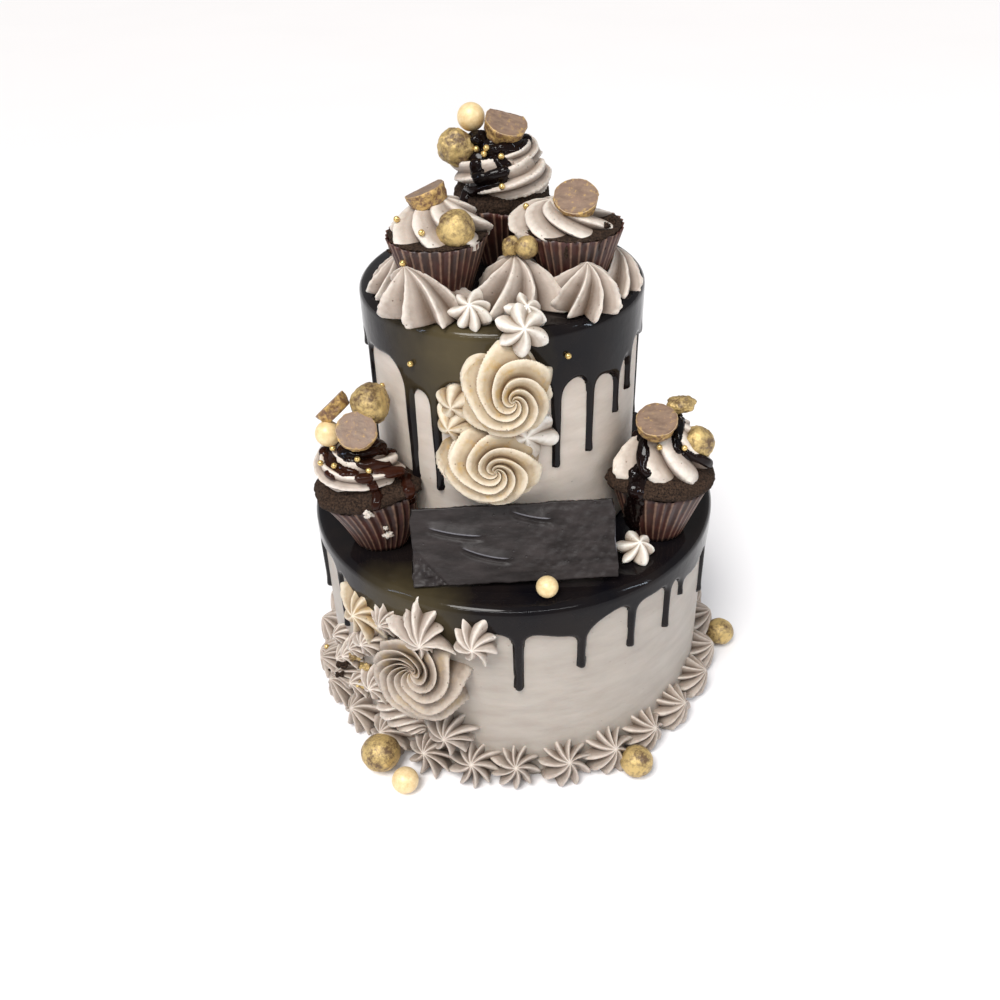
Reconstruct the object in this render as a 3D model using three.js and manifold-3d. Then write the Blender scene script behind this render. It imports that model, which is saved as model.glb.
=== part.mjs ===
import * as THREE from 'three';
import { mergeVertices } from 'three/addons/utils/BufferGeometryUtils.js';
import Module from 'manifold-3d';

// A two-tier celebration cake: cream-coated tiers with dripping ganache, piped stars, dollops and
// rosettes, five cupcakes in paper cases, gilded sweets and a leaning chocolate plaque.
// Millimetres, +Z up, front towards -Y, origin at the centre of the lower tier's underside.

const wasm = await Module();
wasm.setup();

// Driving dimensions
const GAP = 0.3;
const SKIN = GAP + 0.3;
const SMOOTHING = 0.34;
const COAT_SMOOTHING = 0.16;
const COAT_TOP = 2.4;
const COAT_SIDE = 2.0;
const COAT_CLEARANCE = 0.5;
const RIM_BEVEL = 3.4;
const LOWER = { x: 0, y: 0, base: 0, radius: 124.5, height: 135.3, segments: 48 };
const UPPER = {
  x: -4,
  y: 0,
  base: LOWER.height + 2 * GAP + COAT_TOP,
  radius: 78.5,
  height: 141.5,
  segments: 40,
};
const LEDGE = LOWER.base + LOWER.height + GAP + COAT_TOP;
const SUMMIT = UPPER.base + UPPER.height + GAP + COAT_TOP;

const CASE = {
  baseRadius: 15.5,
  rimRadius: 27,
  height: 35,
  wall: 0.9,
  pleats: 14,
  pleatDepth: 1.1,
};
const BORDER = {
  count: 28,
  radius: 17.2,
  height: 15.5,
  reach: 127.5,
  rise: 13.4,
  elevation: 38,
  petals: 6,
  smoothing: 0.8,
};
const PLAQUE = { width: 114, height: 44, thickness: 3.4, foot: 104, lean: 31, x: 0.4 };
const DRAGEE_RADIUS = 1.7;

// Colours and finish
const CREAM = { color: 0xc3b9af, roughness: 0.6, metalness: 0 };
const IVORY_CREAM = { color: 0xe1d2b4, roughness: 0.5, metalness: 0.1 };
const SPONGE = { color: 0x3c3028, roughness: 0.9, metalness: 0 };
const GANACHE = { color: 0x231e1c, roughness: 0.18, metalness: 0 };
const DARK_CHOCOLATE = { color: 0x322f30, roughness: 0.45, metalness: 0 };
const MILK_CHOCOLATE = { color: 0x7d645c, roughness: 0.55, metalness: 0 };
const GILDING = { color: 0xaa8c50, roughness: 0.4, metalness: 0.6 };
const PEARL = { color: 0xe1be82, roughness: 0.3, metalness: 0.4 };
const PAPER = { color: 0x4a2e28, roughness: 0.7, metalness: 0 };

const cake = new THREE.Group();
const radians = THREE.MathUtils.degToRad;

// A repeatable stream of numbers from 0 to 1
function seeded(seed) {
  let state = seed;
  return () => {
    state = (state * 16807) % 2147483647;
    return state / 2147483647;
  };
}

// A point on a tier's wall: azimuth is turned from the front towards +X
function onWall(tier, radius, azimuth, z) {
  const turn = radians(azimuth);
  return new THREE.Vector3(tier.x + radius * Math.sin(turn), tier.y - radius * Math.cos(turn), z);
}

function addPiece(name, geometry, finish, parent = cake) {
  const piece = new THREE.Mesh(geometry, new THREE.MeshStandardMaterial(finish));
  piece.name = name;
  parent.add(piece);
  return piece;
}

// Solids for joining and cutting

function toSolid(geometry) {
  const bare = geometry.clone();
  bare.deleteAttribute('normal');
  bare.deleteAttribute('uv');
  const merged = mergeVertices(bare, 1e-4);
  const corners = merged.index.array;
  const faces = [];
  for (let i = 0; i < corners.length; i += 3) {
    const [a, b, c] = corners.slice(i, i + 3);
    if (a !== b && b !== c && c !== a) faces.push(a, b, c);
  }
  return new wasm.Manifold(new wasm.Mesh({
    numProp: 3,
    vertProperties: new Float32Array(merged.attributes.position.array),
    triVerts: new Uint32Array(faces),
  }));
}

function toGeometry(solid) {
  const mesh = solid.getMesh();
  const geometry = new THREE.BufferGeometry();
  geometry.setAttribute('position', new THREE.BufferAttribute(mesh.vertProperties, 3));
  geometry.setIndex(new THREE.BufferAttribute(mesh.triVerts, 1));
  return geometry;
}

// Two shapes that have run together
function fused(first, second) {
  return toGeometry(toSolid(first).add(toSolid(second)));
}

function placedSolid(piece) {
  piece.updateWorldMatrix(true, false);
  return toSolid(piece.geometry.clone().applyMatrix4(piece.matrixWorld));
}

// The solid of a piece with every point moved outwards along its normal
function swollenSolid(piece, distance) {
  piece.updateWorldMatrix(true, false);
  const placed = piece.geometry.clone().applyMatrix4(piece.matrixWorld);
  placed.deleteAttribute('normal');
  placed.deleteAttribute('uv');
  const merged = mergeVertices(placed, 1e-4);
  merged.computeVertexNormals();
  const points = merged.attributes.position;
  const normals = merged.attributes.normal;
  for (let i = 0; i < points.count; i += 1) {
    points.setXYZ(
      i,
      points.getX(i) + distance * normals.getX(i),
      points.getY(i) + distance * normals.getY(i),
      points.getZ(i) + distance * normals.getZ(i),
    );
  }
  return toSolid(merged);
}

// A plain drum, with a tier's own facets, to cut what is piped onto it or stands on it
function tierDrum(tier, radius, bottom, top) {
  const drum = new THREE.CylinderGeometry(radius, radius, top - bottom, tier.segments ?? 24);
  drum.rotateX(Math.PI / 2);
  drum.translate(tier.x, tier.y, (top + bottom) / 2);
  return toSolid(drum);
}

function largest(solid) {
  const bodies = solid.decompose();
  return bodies.reduce((best, body) => (body.volume() > best.volume() ? body : best));
}

// Keeps the largest body of a piece after its cutters are taken out of it
function cutPiece(piece, cutters, smoothing = SMOOTHING) {
  let solid = placedSolid(piece);
  for (const cutter of cutters) solid = solid.subtract(cutter);
  const geometry = toGeometry(largest(solid.simplify(smoothing)));
  piece.geometry = geometry.applyMatrix4(piece.matrixWorld.clone().invert());
}

function clearOf(piece, neighbours) {
  cutPiece(piece, neighbours.map((neighbour) => swollenSolid(neighbour, SKIN)));
}

// Surfaces

// A closed surface from a bottom point through rings of equal length to a top point
function lofted(bottom, rings, top) {
  const count = rings[0].length;
  const points = [bottom, ...rings.flat(), top];
  const last = points.length - 1;
  const at = (ring, step) => 1 + ring * count + (step % count);
  const faces = [];
  for (let i = 0; i < count; i += 1) {
    faces.push(0, at(0, i + 1), at(0, i));
    for (let ring = 0; ring < rings.length - 1; ring += 1) {
      faces.push(at(ring, i), at(ring, i + 1), at(ring + 1, i + 1));
      faces.push(at(ring, i), at(ring + 1, i + 1), at(ring + 1, i));
    }
    faces.push(last, at(rings.length - 1, i), at(rings.length - 1, i + 1));
  }
  const geometry = new THREE.BufferGeometry().setFromPoints(points);
  geometry.setIndex(faces);
  return geometry;
}

// A profile of [radius, z] pairs, from bottom to top, turned about the Z axis
function revolved(profile, segments) {
  const points = profile.map(([radius, z]) => new THREE.Vector2(radius, z));
  return new THREE.LatheGeometry(points, segments).rotateX(Math.PI / 2);
}

// A tier's cream-coated body with a bevelled upper rim
function tierBody(tier) {
  const { radius, height, segments } = tier;
  const rim = [[radius, height - RIM_BEVEL], [radius - RIM_BEVEL, height]];
  return revolved([[0, 0], [radius, 0], ...rim, [0, height]], segments);
}

// The lower edge of a coat: a wavy curtain with drips, as columns of azimuth and height
function dripEdge({ tier, drips, curtain, spacing }, grow) {
  const widen = (2 * grow) / (tier.radius * radians(1));
  const columns = [];
  for (const drip of drips) {
    const half = (drip.width + widen) / 2;
    const end = drip.end - grow;
    const stations = [[-1.5, 0.1], [-0.85, 0.88], [0, 1], [0.85, 0.88], [1.5, 0.1]];
    for (const [offset, share] of stations) {
      const azimuth = drip.azimuth + offset * half;
      const top = curtain(azimuth) - grow;
      columns.push({ azimuth, z: top - share * (top - end), bead: share > 0.5 ? 0.8 : 0 });
    }
  }
  for (let azimuth = -90; azimuth < 270; azimuth += spacing) {
    const clear = drips.every((drip) => Math.abs(drip.azimuth - azimuth) > drip.width + 0.8);
    if (clear) columns.push({ azimuth, z: curtain(azimuth) - grow, bead: 0 });
  }
  return columns.sort((a, b) => a.azimuth - b.azimuth);
}

// A thin coat over a tier's top and down its wall to the drip edge, grown all over if asked
function ganacheCoat(coat, grow = 0) {
  const { tier } = coat;
  const columns = dripEdge(coat, grow);
  const wall = tier.radius + COAT_CLEARANCE - grow;
  const face = wall + COAT_SIDE + 2 * grow;
  const under = tier.height + GAP - grow;
  const over = under + COAT_TOP + 2 * grow;
  const ring = (radiusOf, zOf) => columns.map((column) => {
    const turn = radians(column.azimuth);
    const radius = radiusOf(column);
    return new THREE.Vector3(radius * Math.sin(turn), -radius * Math.cos(turn), zOf(column));
  });
  return lofted(
    new THREE.Vector3(0, 0, under),
    [
      ring(() => wall - RIM_BEVEL, () => under),
      ring(() => wall, () => under - RIM_BEVEL),
      ring(() => wall, (column) => column.z - tier.base + 0.8),
      ring((column) => face + column.bead, (column) => column.z - tier.base),
      ring(() => face, () => over - RIM_BEVEL),
      ring(() => face - RIM_BEVEL, () => over),
    ],
    new THREE.Vector3(0, 0, over),
  );
}

// Outlines of piped shapes from foot to tip, as shares of the radius and of the height
const FORMS = {
  star: [[0.84, 0], [1, 0.16], [0.6, 0.6]],
  border: [[1, 0], [0.92, 0.3]],
  dollop: [[0.84, 0], [1, 0.14], [0.8, 0.42], [0.42, 0.74]],
  swirl: [[1, 0.2], [0.88, 0.55], [0.5, 0.86]],
};

// Cream piped through a star tip: petals with creases between them, drawn up to a point.
// A seat of [radius, z] pairs, from the axis outwards, replaces its flat foot.
function pipedStar(shape) {
  const { radius, height, petals, crease = 0.32, twist = 0 } = shape;
  const { sink = 2, form = 'star', lean = [0, 0], seat } = shape;
  const count = petals * 2;
  const level = ([reach, rise], onFoot) => Array.from({ length: count }, (_, i) => {
    const valley = i % 2 === 1;
    const notch = form === 'border' && onFoot ? 0.02 : crease;
    const shy = valley ? 0.12 : -0.12;
    const turn = ((i + shy) * Math.PI) / petals + radians(twist) * rise;
    const extent = radius * reach * (valley ? 1 - notch : 1);
    return new THREE.Vector3(
      extent * Math.cos(turn) + lean[0] * rise,
      extent * Math.sin(turn) + lean[1] * rise,
      onFoot && !seat ? -sink : height * rise * (valley ? 0.86 : 1),
    );
  });
  const shaped = FORMS[form].map((share, i) => level(share, i === 0));
  const foot = (seat ?? []).slice(1).map(([reach, z]) => Array.from({ length: count }, (_, i) => {
    const turn = (i * Math.PI) / petals;
    return new THREE.Vector3(reach * Math.cos(turn), reach * Math.sin(turn), z);
  }));
  const bottom = new THREE.Vector3(0, 0, seat ? seat[0][1] : -sink);
  return lofted(bottom, [...foot, ...shaped], new THREE.Vector3(lean[0], lean[1], height));
}

// A piped rose's outline from its foot to its middle: shares of the radius, height and winding
const ROSE = [
  [0.92, 0, 0],
  [1, 0.3, 0.05],
  [0.84, 0.74, 0.2],
  [0.6, 0.94, 0.45],
  [0.36, 0.98, 0.7],
  [0.15, 0.9, 0.9],
];

// A piped rose: a low dome whose ridges wind in towards its centre
function rosette({ radius, height, ridges, turn, sink = 3 }) {
  const rings = ROSE.map(([reach, rise, wind], level) => Array.from({ length: ridges * 2 }, (_, i) => {
    const valley = i % 2 === 1;
    const angle = (i * Math.PI) / ridges - radians(turn) * wind;
    const extent = radius * reach * (valley && level < 2 ? 0.9 : 1);
    const drop = valley ? 0.15 * height : 0;
    return new THREE.Vector3(
      extent * Math.cos(angle),
      extent * Math.sin(angle),
      level === 0 ? -sink : height * rise - drop,
    );
  }));
  return lofted(new THREE.Vector3(0, 0, -sink), rings, new THREE.Vector3(0, 0, height * 0.8));
}

// Points a shape's +Z axis outwards at an azimuth, raised by an elevation, at a point
function aimed(geometry, position, azimuth, elevation, roll = 0) {
  geometry.rotateZ(radians(roll));
  geometry.rotateX(radians(90 - elevation));
  geometry.rotateZ(radians(azimuth));
  return geometry.translate(position.x, position.y, position.z);
}

// Flattens what reaches into a tier's wall, or below its foot, against them
function settled(geometry, tier) {
  const wall = tier.radius - 3;
  const points = geometry.attributes.position;
  for (let i = 0; i < points.count; i += 1) {
    const x = points.getX(i) - tier.x;
    const y = points.getY(i) - tier.y;
    const spread = Math.max(1, wall / Math.hypot(x, y));
    points.setXYZ(i, tier.x + x * spread, tier.y + y * spread, Math.max(points.getZ(i), tier.base));
  }
  return geometry;
}

// A sweet with an uneven gilded crust
function gildedSweet(radius, unevenness, seed) {
  const random = seeded(seed);
  const geometry = mergeVertices(bareOf(new THREE.IcosahedronGeometry(radius, 1)), 1e-4);
  const points = geometry.attributes.position;
  for (let i = 0; i < points.count; i += 1) {
    const scale = 1 + unevenness * (random() - 0.5);
    points.setXYZ(i, points.getX(i) * scale, points.getY(i) * scale, points.getZ(i) * scale);
  }
  return geometry;
}

function bareOf(geometry) {
  geometry.deleteAttribute('normal');
  geometry.deleteAttribute('uv');
  return geometry;
}

// A halved filled cup: a disc that narrows away from its flat face
function chocolateCup(radius, depth) {
  const half = depth / 2;
  return revolved([[0, -half], [radius * 0.84, -half], [radius, half], [0, half]], 16);
}

// Tiers and their coats

const lowerTier = addPiece('lower_tier', tierBody(LOWER), CREAM);
const upperTier = addPiece('upper_tier', tierBody(UPPER), CREAM);
upperTier.position.set(UPPER.x, UPPER.y, UPPER.base);

const lowerDrips = [
  { azimuth: -75, end: 80, width: 2 }, { azimuth: -58, end: 75, width: 1.8 },
  { azimuth: 0.5, end: 75, width: 2.6 }, { azimuth: 17.5, end: 87, width: 2.5 },
  { azimuth: 32.5, end: 90, width: 2.3 }, { azimuth: 46, end: 88, width: 2 },
  { azimuth: 52.5, end: 104, width: 1.7 }, { azimuth: 70, end: 78, width: 1.9 },
];
const upperDrips = [
  { azimuth: -86, end: 240, width: 3 }, { azimuth: -70, end: 219, width: 2.4 },
  { azimuth: -40.5, end: 181, width: 3.8 }, { azimuth: -28.2, end: 179.5, width: 3.6 },
  { azimuth: 21, end: 196, width: 3.6 }, { azimuth: 36.5, end: 200, width: 3.2 },
  { azimuth: 52, end: 216, width: 3 }, { azimuth: 61.5, end: 225, width: 2.8 },
  { azimuth: 76, end: 252, width: 3 },
];

// Drips spread round the back, of uneven length
function backDrips(from, to, count, longest, shortest, width, seed) {
  const random = seeded(seed);
  const step = (to - from) / count;
  return Array.from({ length: count }, (_, i) => ({
    azimuth: from + step * (i + 0.3 + 0.4 * random()),
    end: longest + (shortest - longest) * random(),
    width: width * (0.8 + 0.4 * random()),
  }));
}

// The height of a coat's edge between its drips, as slow and quick waves round the tier
const waves = (azimuth, middle, slow, quick) => (
  middle + slow.depth * Math.sin(radians(azimuth * slow.count + slow.shift))
  + quick.depth * Math.sin(radians(azimuth * quick.count))
);
const lowerCurtain = (azimuth) => (
  waves(azimuth, 120, { depth: 5, count: 7, shift: 200 }, { depth: 2, count: 17 })
);
const upperCurtain = (azimuth) => (
  waves(azimuth, 252, { depth: 5, count: 5, shift: 60 }, { depth: 2.5, count: 13 })
);

const LOWER_COAT = {
  tier: LOWER,
  drips: [...lowerDrips, ...backDrips(80, 268, 9, 76, 104, 2.2, 11)],
  curtain: lowerCurtain,
  spacing: 8,
};
const UPPER_COAT = {
  tier: UPPER,
  drips: [...upperDrips, ...backDrips(86, 264, 7, 182, 228, 3.2, 23)],
  curtain: upperCurtain,
  spacing: 10,
};
const lowerGanache = addPiece('lower_ganache', ganacheCoat(LOWER_COAT), GANACHE);
const upperGanache = addPiece('upper_ganache', ganacheCoat(UPPER_COAT), GANACHE);
upperGanache.position.copy(upperTier.position);
cutPiece(lowerGanache, [], COAT_SMOOTHING);
cutPiece(upperGanache, [], COAT_SMOOTHING);

// What is piped onto the tiers stays clear of these
const lowerWall = tierDrum(LOWER, LOWER.radius + SKIN, -60, LEDGE - COAT_TOP);
const upperWall = tierDrum(UPPER, UPPER.radius + SKIN, LEDGE, SUMMIT - COAT_TOP);
const lowerCoatSolid = toSolid(ganacheCoat(LOWER_COAT, SKIN + GAP));
const upperCoatSolid = toSolid(
  ganacheCoat(UPPER_COAT, SKIN + GAP).translate(UPPER.x, UPPER.y, UPPER.base),
);
const underFloor = tierDrum(LOWER, 220, -80, 0);

// Sweets that lie at the foot of the cake and on the ledge

function restingBall(name, radius, x, y, floor, finish, unevenness, seed) {
  const ball = addPiece(name, gildedSweet(radius, unevenness, seed), finish);
  ball.position.set(x, y, floor + radius * 0.96);
  cutPiece(ball, [tierDrum({ x, y }, 2 * radius, floor - 4 * radius, floor)]);
  return ball;
}

const footSweets = [
  restingBall('foot_truffle_left', 12.6, -86.5, -114.5, 0, GILDING, 0.06, 3),
  restingBall('foot_pearl', 8.3, -70, -133.5, 0, PEARL, 0, 5),
  restingBall('foot_truffle_right', 10.4, 73, -123.5, 0, GILDING, 0.06, 7),
  restingBall('foot_truffle_side', 10, 144.5, -7, 0, GILDING, 0.06, 9),
];
const ledgePearl = restingBall('ledge_pearl', 6.3, 17.6, -114.4, LEDGE + GAP, PEARL, 0, 13);

// The leaning plaque: a thin bent slab with a few long creases

function plaqueGeometry() {
  const { width, height, thickness } = PLAQUE;
  const slab = new THREE.BoxGeometry(width, height, thickness, 8, 4, 1);
  slab.translate(0, height / 2, 0);
  const points = slab.attributes.position;
  for (let i = 0; i < points.count; i += 1) {
    const across = points.getX(i) / width;
    const up = points.getY(i) / height;
    const crease = 0.5 * Math.sin(radians(540 * across + 260 * up)) * (1 - across);
    points.setX(i, points.getX(i) + 0.8 * Math.sin(radians(300 * up)) * Math.sign(across));
    points.setZ(i, points.getZ(i) + crease + 1.2 * Math.cos(radians(150 * across)));
  }
  return slab;
}

const plaque = addPiece('plaque', plaqueGeometry(), DARK_CHOCOLATE);
plaque.rotation.set(radians(90 - PLAQUE.lean), 0, radians(2));
plaque.position.set(PLAQUE.x, -PLAQUE.foot, LEDGE + GAP + PLAQUE.thickness / 2);
cutPiece(plaque, [tierDrum({ x: 0, y: -100 }, 90, LEDGE - 20, LEDGE + GAP)]);

// Cupcakes: a pleated paper case, a domed chocolate cake and a swirl of cream

const CUPCAKES = [
  {
    name: 'ledge_left', x: -80, y: -56, z: LEDGE, turn: 10, lean: [-0.16, 0],
    crown: 29.5, dome: 14, swirl: { radius: 27, height: 28, petals: 9, twist: 70, lean: [2, 3] },
  },
  {
    name: 'ledge_right', x: 86, y: -52, z: LEDGE, turn: 34, lean: [0.05, 0.02],
    crown: 29.5, dome: 13, swirl: { radius: 25.5, height: 26, petals: 8, twist: 60, lean: [-1, 3] },
  },
  {
    name: 'top_left', x: -37, y: -35, z: SUMMIT, turn: 0, lean: [0, 0],
    crown: 27, dome: 4, swirl: { radius: 26, height: 19, petals: 8, twist: 55, lean: [0, 3] },
  },
  {
    name: 'top_right', x: 34, y: -27, z: SUMMIT, turn: 20, lean: [0, 0],
    crown: 27, dome: 4, swirl: { radius: 25.5, height: 14, petals: 7, twist: 45, lean: [0, 2] },
  },
  {
    name: 'top_middle', x: -3, y: 16, z: SUMMIT, turn: 5, lean: [0, 0],
    crown: 28.5, dome: 14, swirl: { radius: 27.5, height: 25, petals: 9, twist: 75, lean: [2, 1] },
  },
];

// Tips a shape over gradually from its flat foot up to the case's rim
function leaned(geometry, lean) {
  const points = geometry.attributes.position;
  for (let i = 0; i < points.count; i += 1) {
    const x = points.getX(i);
    const y = points.getY(i);
    const z = points.getZ(i);
    const share = Math.min(Math.max(z / CASE.height, 0), 1);
    points.setX(i, x + lean[0] * z * share);
    points.setY(i, y + lean[1] * z * share);
    points.setZ(i, z - share * (lean[0] * x + lean[1] * y));
  }
  return geometry;
}

// Flattens what would reach into the upper tier's wall, keeping the order of the layers
function pressed(geometry, origin) {
  const wall = UPPER.radius + GAP + 0.3;
  const softFrom = UPPER.radius - 9;
  const softTo = UPPER.radius + 22;
  const points = geometry.attributes.position;
  for (let i = 0; i < points.count; i += 1) {
    const x = points.getX(i) + origin.x - UPPER.x;
    const y = points.getY(i) + origin.y - UPPER.y;
    const distance = Math.hypot(x, y);
    if (distance < softTo) {
      const moved = wall + ((distance - softFrom) * (softTo - wall)) / (softTo - softFrom);
      points.setX(i, (x * moved) / distance - origin.x + UPPER.x);
      points.setY(i, (y * moved) / distance - origin.y + UPPER.y);
    }
  }
  return geometry;
}

function pleatedCase() {
  const { baseRadius, rimRadius, height, wall, pleats, pleatDepth } = CASE;
  const ring = (radius, z, depth) => Array.from({ length: pleats * 2 }, (_, i) => {
    const turn = (i * Math.PI) / pleats;
    const extent = radius - (i % 2 === 1 ? depth : 0);
    return new THREE.Vector3(extent * Math.cos(turn), extent * Math.sin(turn), z);
  });
  return lofted(
    new THREE.Vector3(0, 0, 0),
    [
      ring(baseRadius, 0, pleatDepth * 0.5),
      ring(rimRadius, height, pleatDepth),
      ring(rimRadius - wall - pleatDepth, height, 0),
      ring(baseRadius - wall - pleatDepth * 0.5, wall, 0),
    ],
    new THREE.Vector3(0, 0, wall),
  );
}

// The outline of a cake's crown above its case, from its edge to its top
const crownOutline = ({ crown, dome }) => [
  [crown, CASE.height + 3.2],
  [crown - 0.8, CASE.height + dome * 0.55],
  [crown * 0.68, CASE.height + dome * 0.92],
  [0, CASE.height + dome],
];

function cupcakeCake(cupcake) {
  const { baseRadius, rimRadius, height, wall, pleatDepth } = CASE;
  const inset = wall + pleatDepth + 0.45;
  return revolved([
    [0, wall + 0.4],
    [baseRadius - inset, wall + 0.4],
    [rimRadius - inset, height + 0.2],
    ...crownOutline(cupcake),
  ], 16);
}

// A swirl of cream that sits on the crown, a skin's thickness clear of it
function swirlOf({ crown, dome, swirl }) {
  const base = CASE.height + dome - 3;
  const seat = [
    [0, 3 + SKIN],
    [crown * 0.68, 3 - dome * 0.08 + SKIN],
    [swirl.radius * 0.8, 3 - dome * 0.15 + SKIN],
  ];
  return pipedStar({ ...swirl, form: 'swirl', crease: 0.24, seat }).translate(0, 0, base);
}

function dragee(x, y, z) {
  return bareOf(new THREE.OctahedronGeometry(DRAGEE_RADIUS, 0)).translate(x, y, z);
}

// Small dragees set in a swirl's flank
function scatterDragees(swirl, count, seed) {
  const random = seeded(seed);
  const outer = toSolid(swirl);
  const box = outer.boundingBox();
  const middle = [(box.min[0] + box.max[0]) / 2, (box.min[1] + box.max[1]) / 2];
  const reach = (box.max[0] - box.min[0]) / 2;
  let solid = outer;
  for (let i = 0; i < count; i += 1) {
    const turn = radians(200 + 140 * random());
    const share = 0.45 + 0.3 * random();
    const x = middle[0] + reach * share * Math.cos(turn);
    const y = middle[1] + reach * share * Math.sin(turn);
    const probe = toSolid(new THREE.BoxGeometry(0.4, 0.4, 120).translate(x, y, box.max[2]));
    const column = probe.intersect(outer);
    if (!column.isEmpty()) {
      solid = solid.add(toSolid(dragee(x, y, column.boundingBox().max[2] + 0.3)));
    }
  }
  return toGeometry(solid);
}

const cases = {};
const cakes = {};
const swirls = {};
for (const cupcake of CUPCAKES) {
  const origin = { x: cupcake.x, y: cupcake.y };
  const onLedge = cupcake.z === LEDGE;
  const group = new THREE.Group();
  group.position.set(cupcake.x, cupcake.y, cupcake.z + GAP);
  cake.add(group);
  const settle = (geometry) => {
    const turned = bareOf(geometry).rotateZ(radians(cupcake.turn));
    const tipped = leaned(turned, cupcake.lean);
    return onLedge ? pressed(tipped, origin) : tipped;
  };
  const { name } = cupcake;
  const swirl = scatterDragees(settle(swirlOf(cupcake)), 3, 31 + cupcake.turn);
  cases[name] = addPiece(`${name}_case`, settle(pleatedCase()), PAPER, group);
  cakes[name] = addPiece(`${name}_cake`, settle(cupcakeCake(cupcake)), SPONGE, group);
  swirls[name] = addPiece(`${name}_swirl`, swirl, CREAM, group);
}

// Sweets on the cupcakes, placed in the cake's own frame

function sweet(name, geometry, finish, position) {
  const piece = addPiece(name, geometry, finish);
  piece.position.set(...position);
  return piece;
}

// A cup's flat face looks out at an azimuth and an elevation
function cupSweet(name, radius, depth, position, azimuth, elevation, finish = MILK_CHOCOLATE) {
  const geometry = aimed(chocolateCup(radius, depth), new THREE.Vector3(), azimuth, elevation);
  return sweet(name, geometry, finish, position);
}

const ledgeLeftSweets = [
  sweet('ledge_left_truffle', gildedSweet(12.2, 0.06, 17), GILDING, [-78.2, -55.4, 229.4]),
  sweet('ledge_left_pearl', gildedSweet(7.4, 0, 19), PEARL, [-102.6, -60, 213.2]),
  cupSweet('ledge_left_cup', 11.4, 8, [-85.2, -70, 219], 10, 35),
  cupSweet('ledge_left_shell', 10.5, 8, [-98.4, -53, 224], -110, 45, GILDING),
];
const ledgeRightSweets = [
  cupSweet('ledge_right_cup', 11.8, 8, [80.8, -57, 213.2], -10, 68),
  sweet('ledge_right_truffle', gildedSweet(10.2, 0.1, 29), GILDING, [105.6, -56, 199.4]),
  sweet('ledge_right_lump', gildedSweet(8.8, 0.3, 37).scale(1.1, 0.8, 0.66), GILDING, [97.2, -42, 216]),
];
const topLeftSweets = [
  sweet('top_left_truffle', gildedSweet(10.8, 0.06, 41), GILDING, [-25.8, -49, 324.2]),
  cupSweet('top_left_cup', 10.8, 8.5, [-39.8, -31, 335.6], -60, 62),
];
const topRightSweets = [
  cupSweet('top_right_cup', 11.8, 9, [35.6, -27, 329.4], -5, 60),
];
const topMiddleSweets = [
  sweet('top_middle_truffle', gildedSweet(10.9, 0.1, 43), GILDING, [-26.8, 8, 349]),
  sweet('top_middle_pearl', gildedSweet(7.5, 0, 47), PEARL, [-18.4, 17, 362]),
  cupSweet('top_middle_cup', 11.8, 9, [-1.6, 11, 357.5], 45, 65),
];
const nestSweet = sweet(
  'nest_sweets',
  fused(
    gildedSweet(6.5, 0.1, 53),
    gildedSweet(6, 0.3, 59).scale(0.9, 0.9, 1.15).translate(-8.6, 0.4, 0.6),
  ),
  GILDING,
  [9.4, -44.2, 312.6],
);

// Each piece gives way to the sweets above it and to the neighbours set before it
clearOf(ledgeLeftSweets[2], [ledgeLeftSweets[0], ledgeLeftSweets[1]]);
clearOf(ledgeLeftSweets[3], [ledgeLeftSweets[0], ledgeLeftSweets[1], ledgeLeftSweets[2]]);
clearOf(ledgeRightSweets[2], [ledgeRightSweets[0], ledgeRightSweets[1]]);
clearOf(topLeftSweets[1], [topLeftSweets[0]]);
clearOf(topMiddleSweets[2], [topMiddleSweets[0], topMiddleSweets[1]]);
clearOf(nestSweet, [cases.top_left, cases.top_right]);

clearOf(cakes.top_right, topRightSweets);
clearOf(cases.top_left, topLeftSweets);
clearOf(cakes.top_left, topLeftSweets);
clearOf(cakes.top_middle, [cakes.top_right, cakes.top_left, cases.top_right, cases.top_left]);
clearOf(swirls.ledge_left, ledgeLeftSweets);
clearOf(swirls.ledge_right, ledgeRightSweets);
clearOf(swirls.top_left, topLeftSweets);
clearOf(swirls.top_right, topRightSweets);
clearOf(swirls.top_middle, [
  swirls.top_left, swirls.top_right, ...topMiddleSweets,
]);

// Big dollops round the cupcakes on the top

const DOLLOPS = [
  { x: 4.5, y: -45, radius: 25, height: 26, lean: [0, 2] },
  { x: -43, y: -55, radius: 21, height: 27, lean: [-8, -2] },
  { x: -64, y: -24, radius: 16, height: 24, lean: [-2, 1] },
  { x: -52, y: 32, radius: 22, height: 25, lean: [1, 0] },
  { x: -4, y: 57, radius: 23, height: 26, lean: [0, -2] },
  { x: 44, y: 32, radius: 22, height: 25, lean: [-1, -2] },
  { x: 59, y: -27, radius: 16, height: 25, lean: [3, 1] },
  { x: 39.5, y: -51, radius: 19, height: 26, lean: [3, -3] },
];
const dollops = DOLLOPS.map((dollop, i) => {
  const piece = addPiece(
    `top_dollop_${i + 1}`,
    pipedStar({ ...dollop, petals: 8, form: 'dollop', twist: 14, crease: 0.25, sink: 0 }),
    CREAM,
  );
  piece.position.set(dollop.x, dollop.y, SUMMIT + GAP);
  return piece;
});
dollops.forEach((dollop, i) => {
  clearOf(dollop, [...Object.values(cases), ...Object.values(cakes), nestSweet, ...dollops.slice(0, i)]);
});

// Small stars on the top rim and down the front of the upper tier

// A shape that stands out from a tier's wall
function outFrom(tier, geometry, { reach, azimuth, z, elevation = 0, roll = 0 }) {
  return aimed(geometry, onWall(tier, reach, azimuth, z), azimuth, elevation, roll);
}

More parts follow.
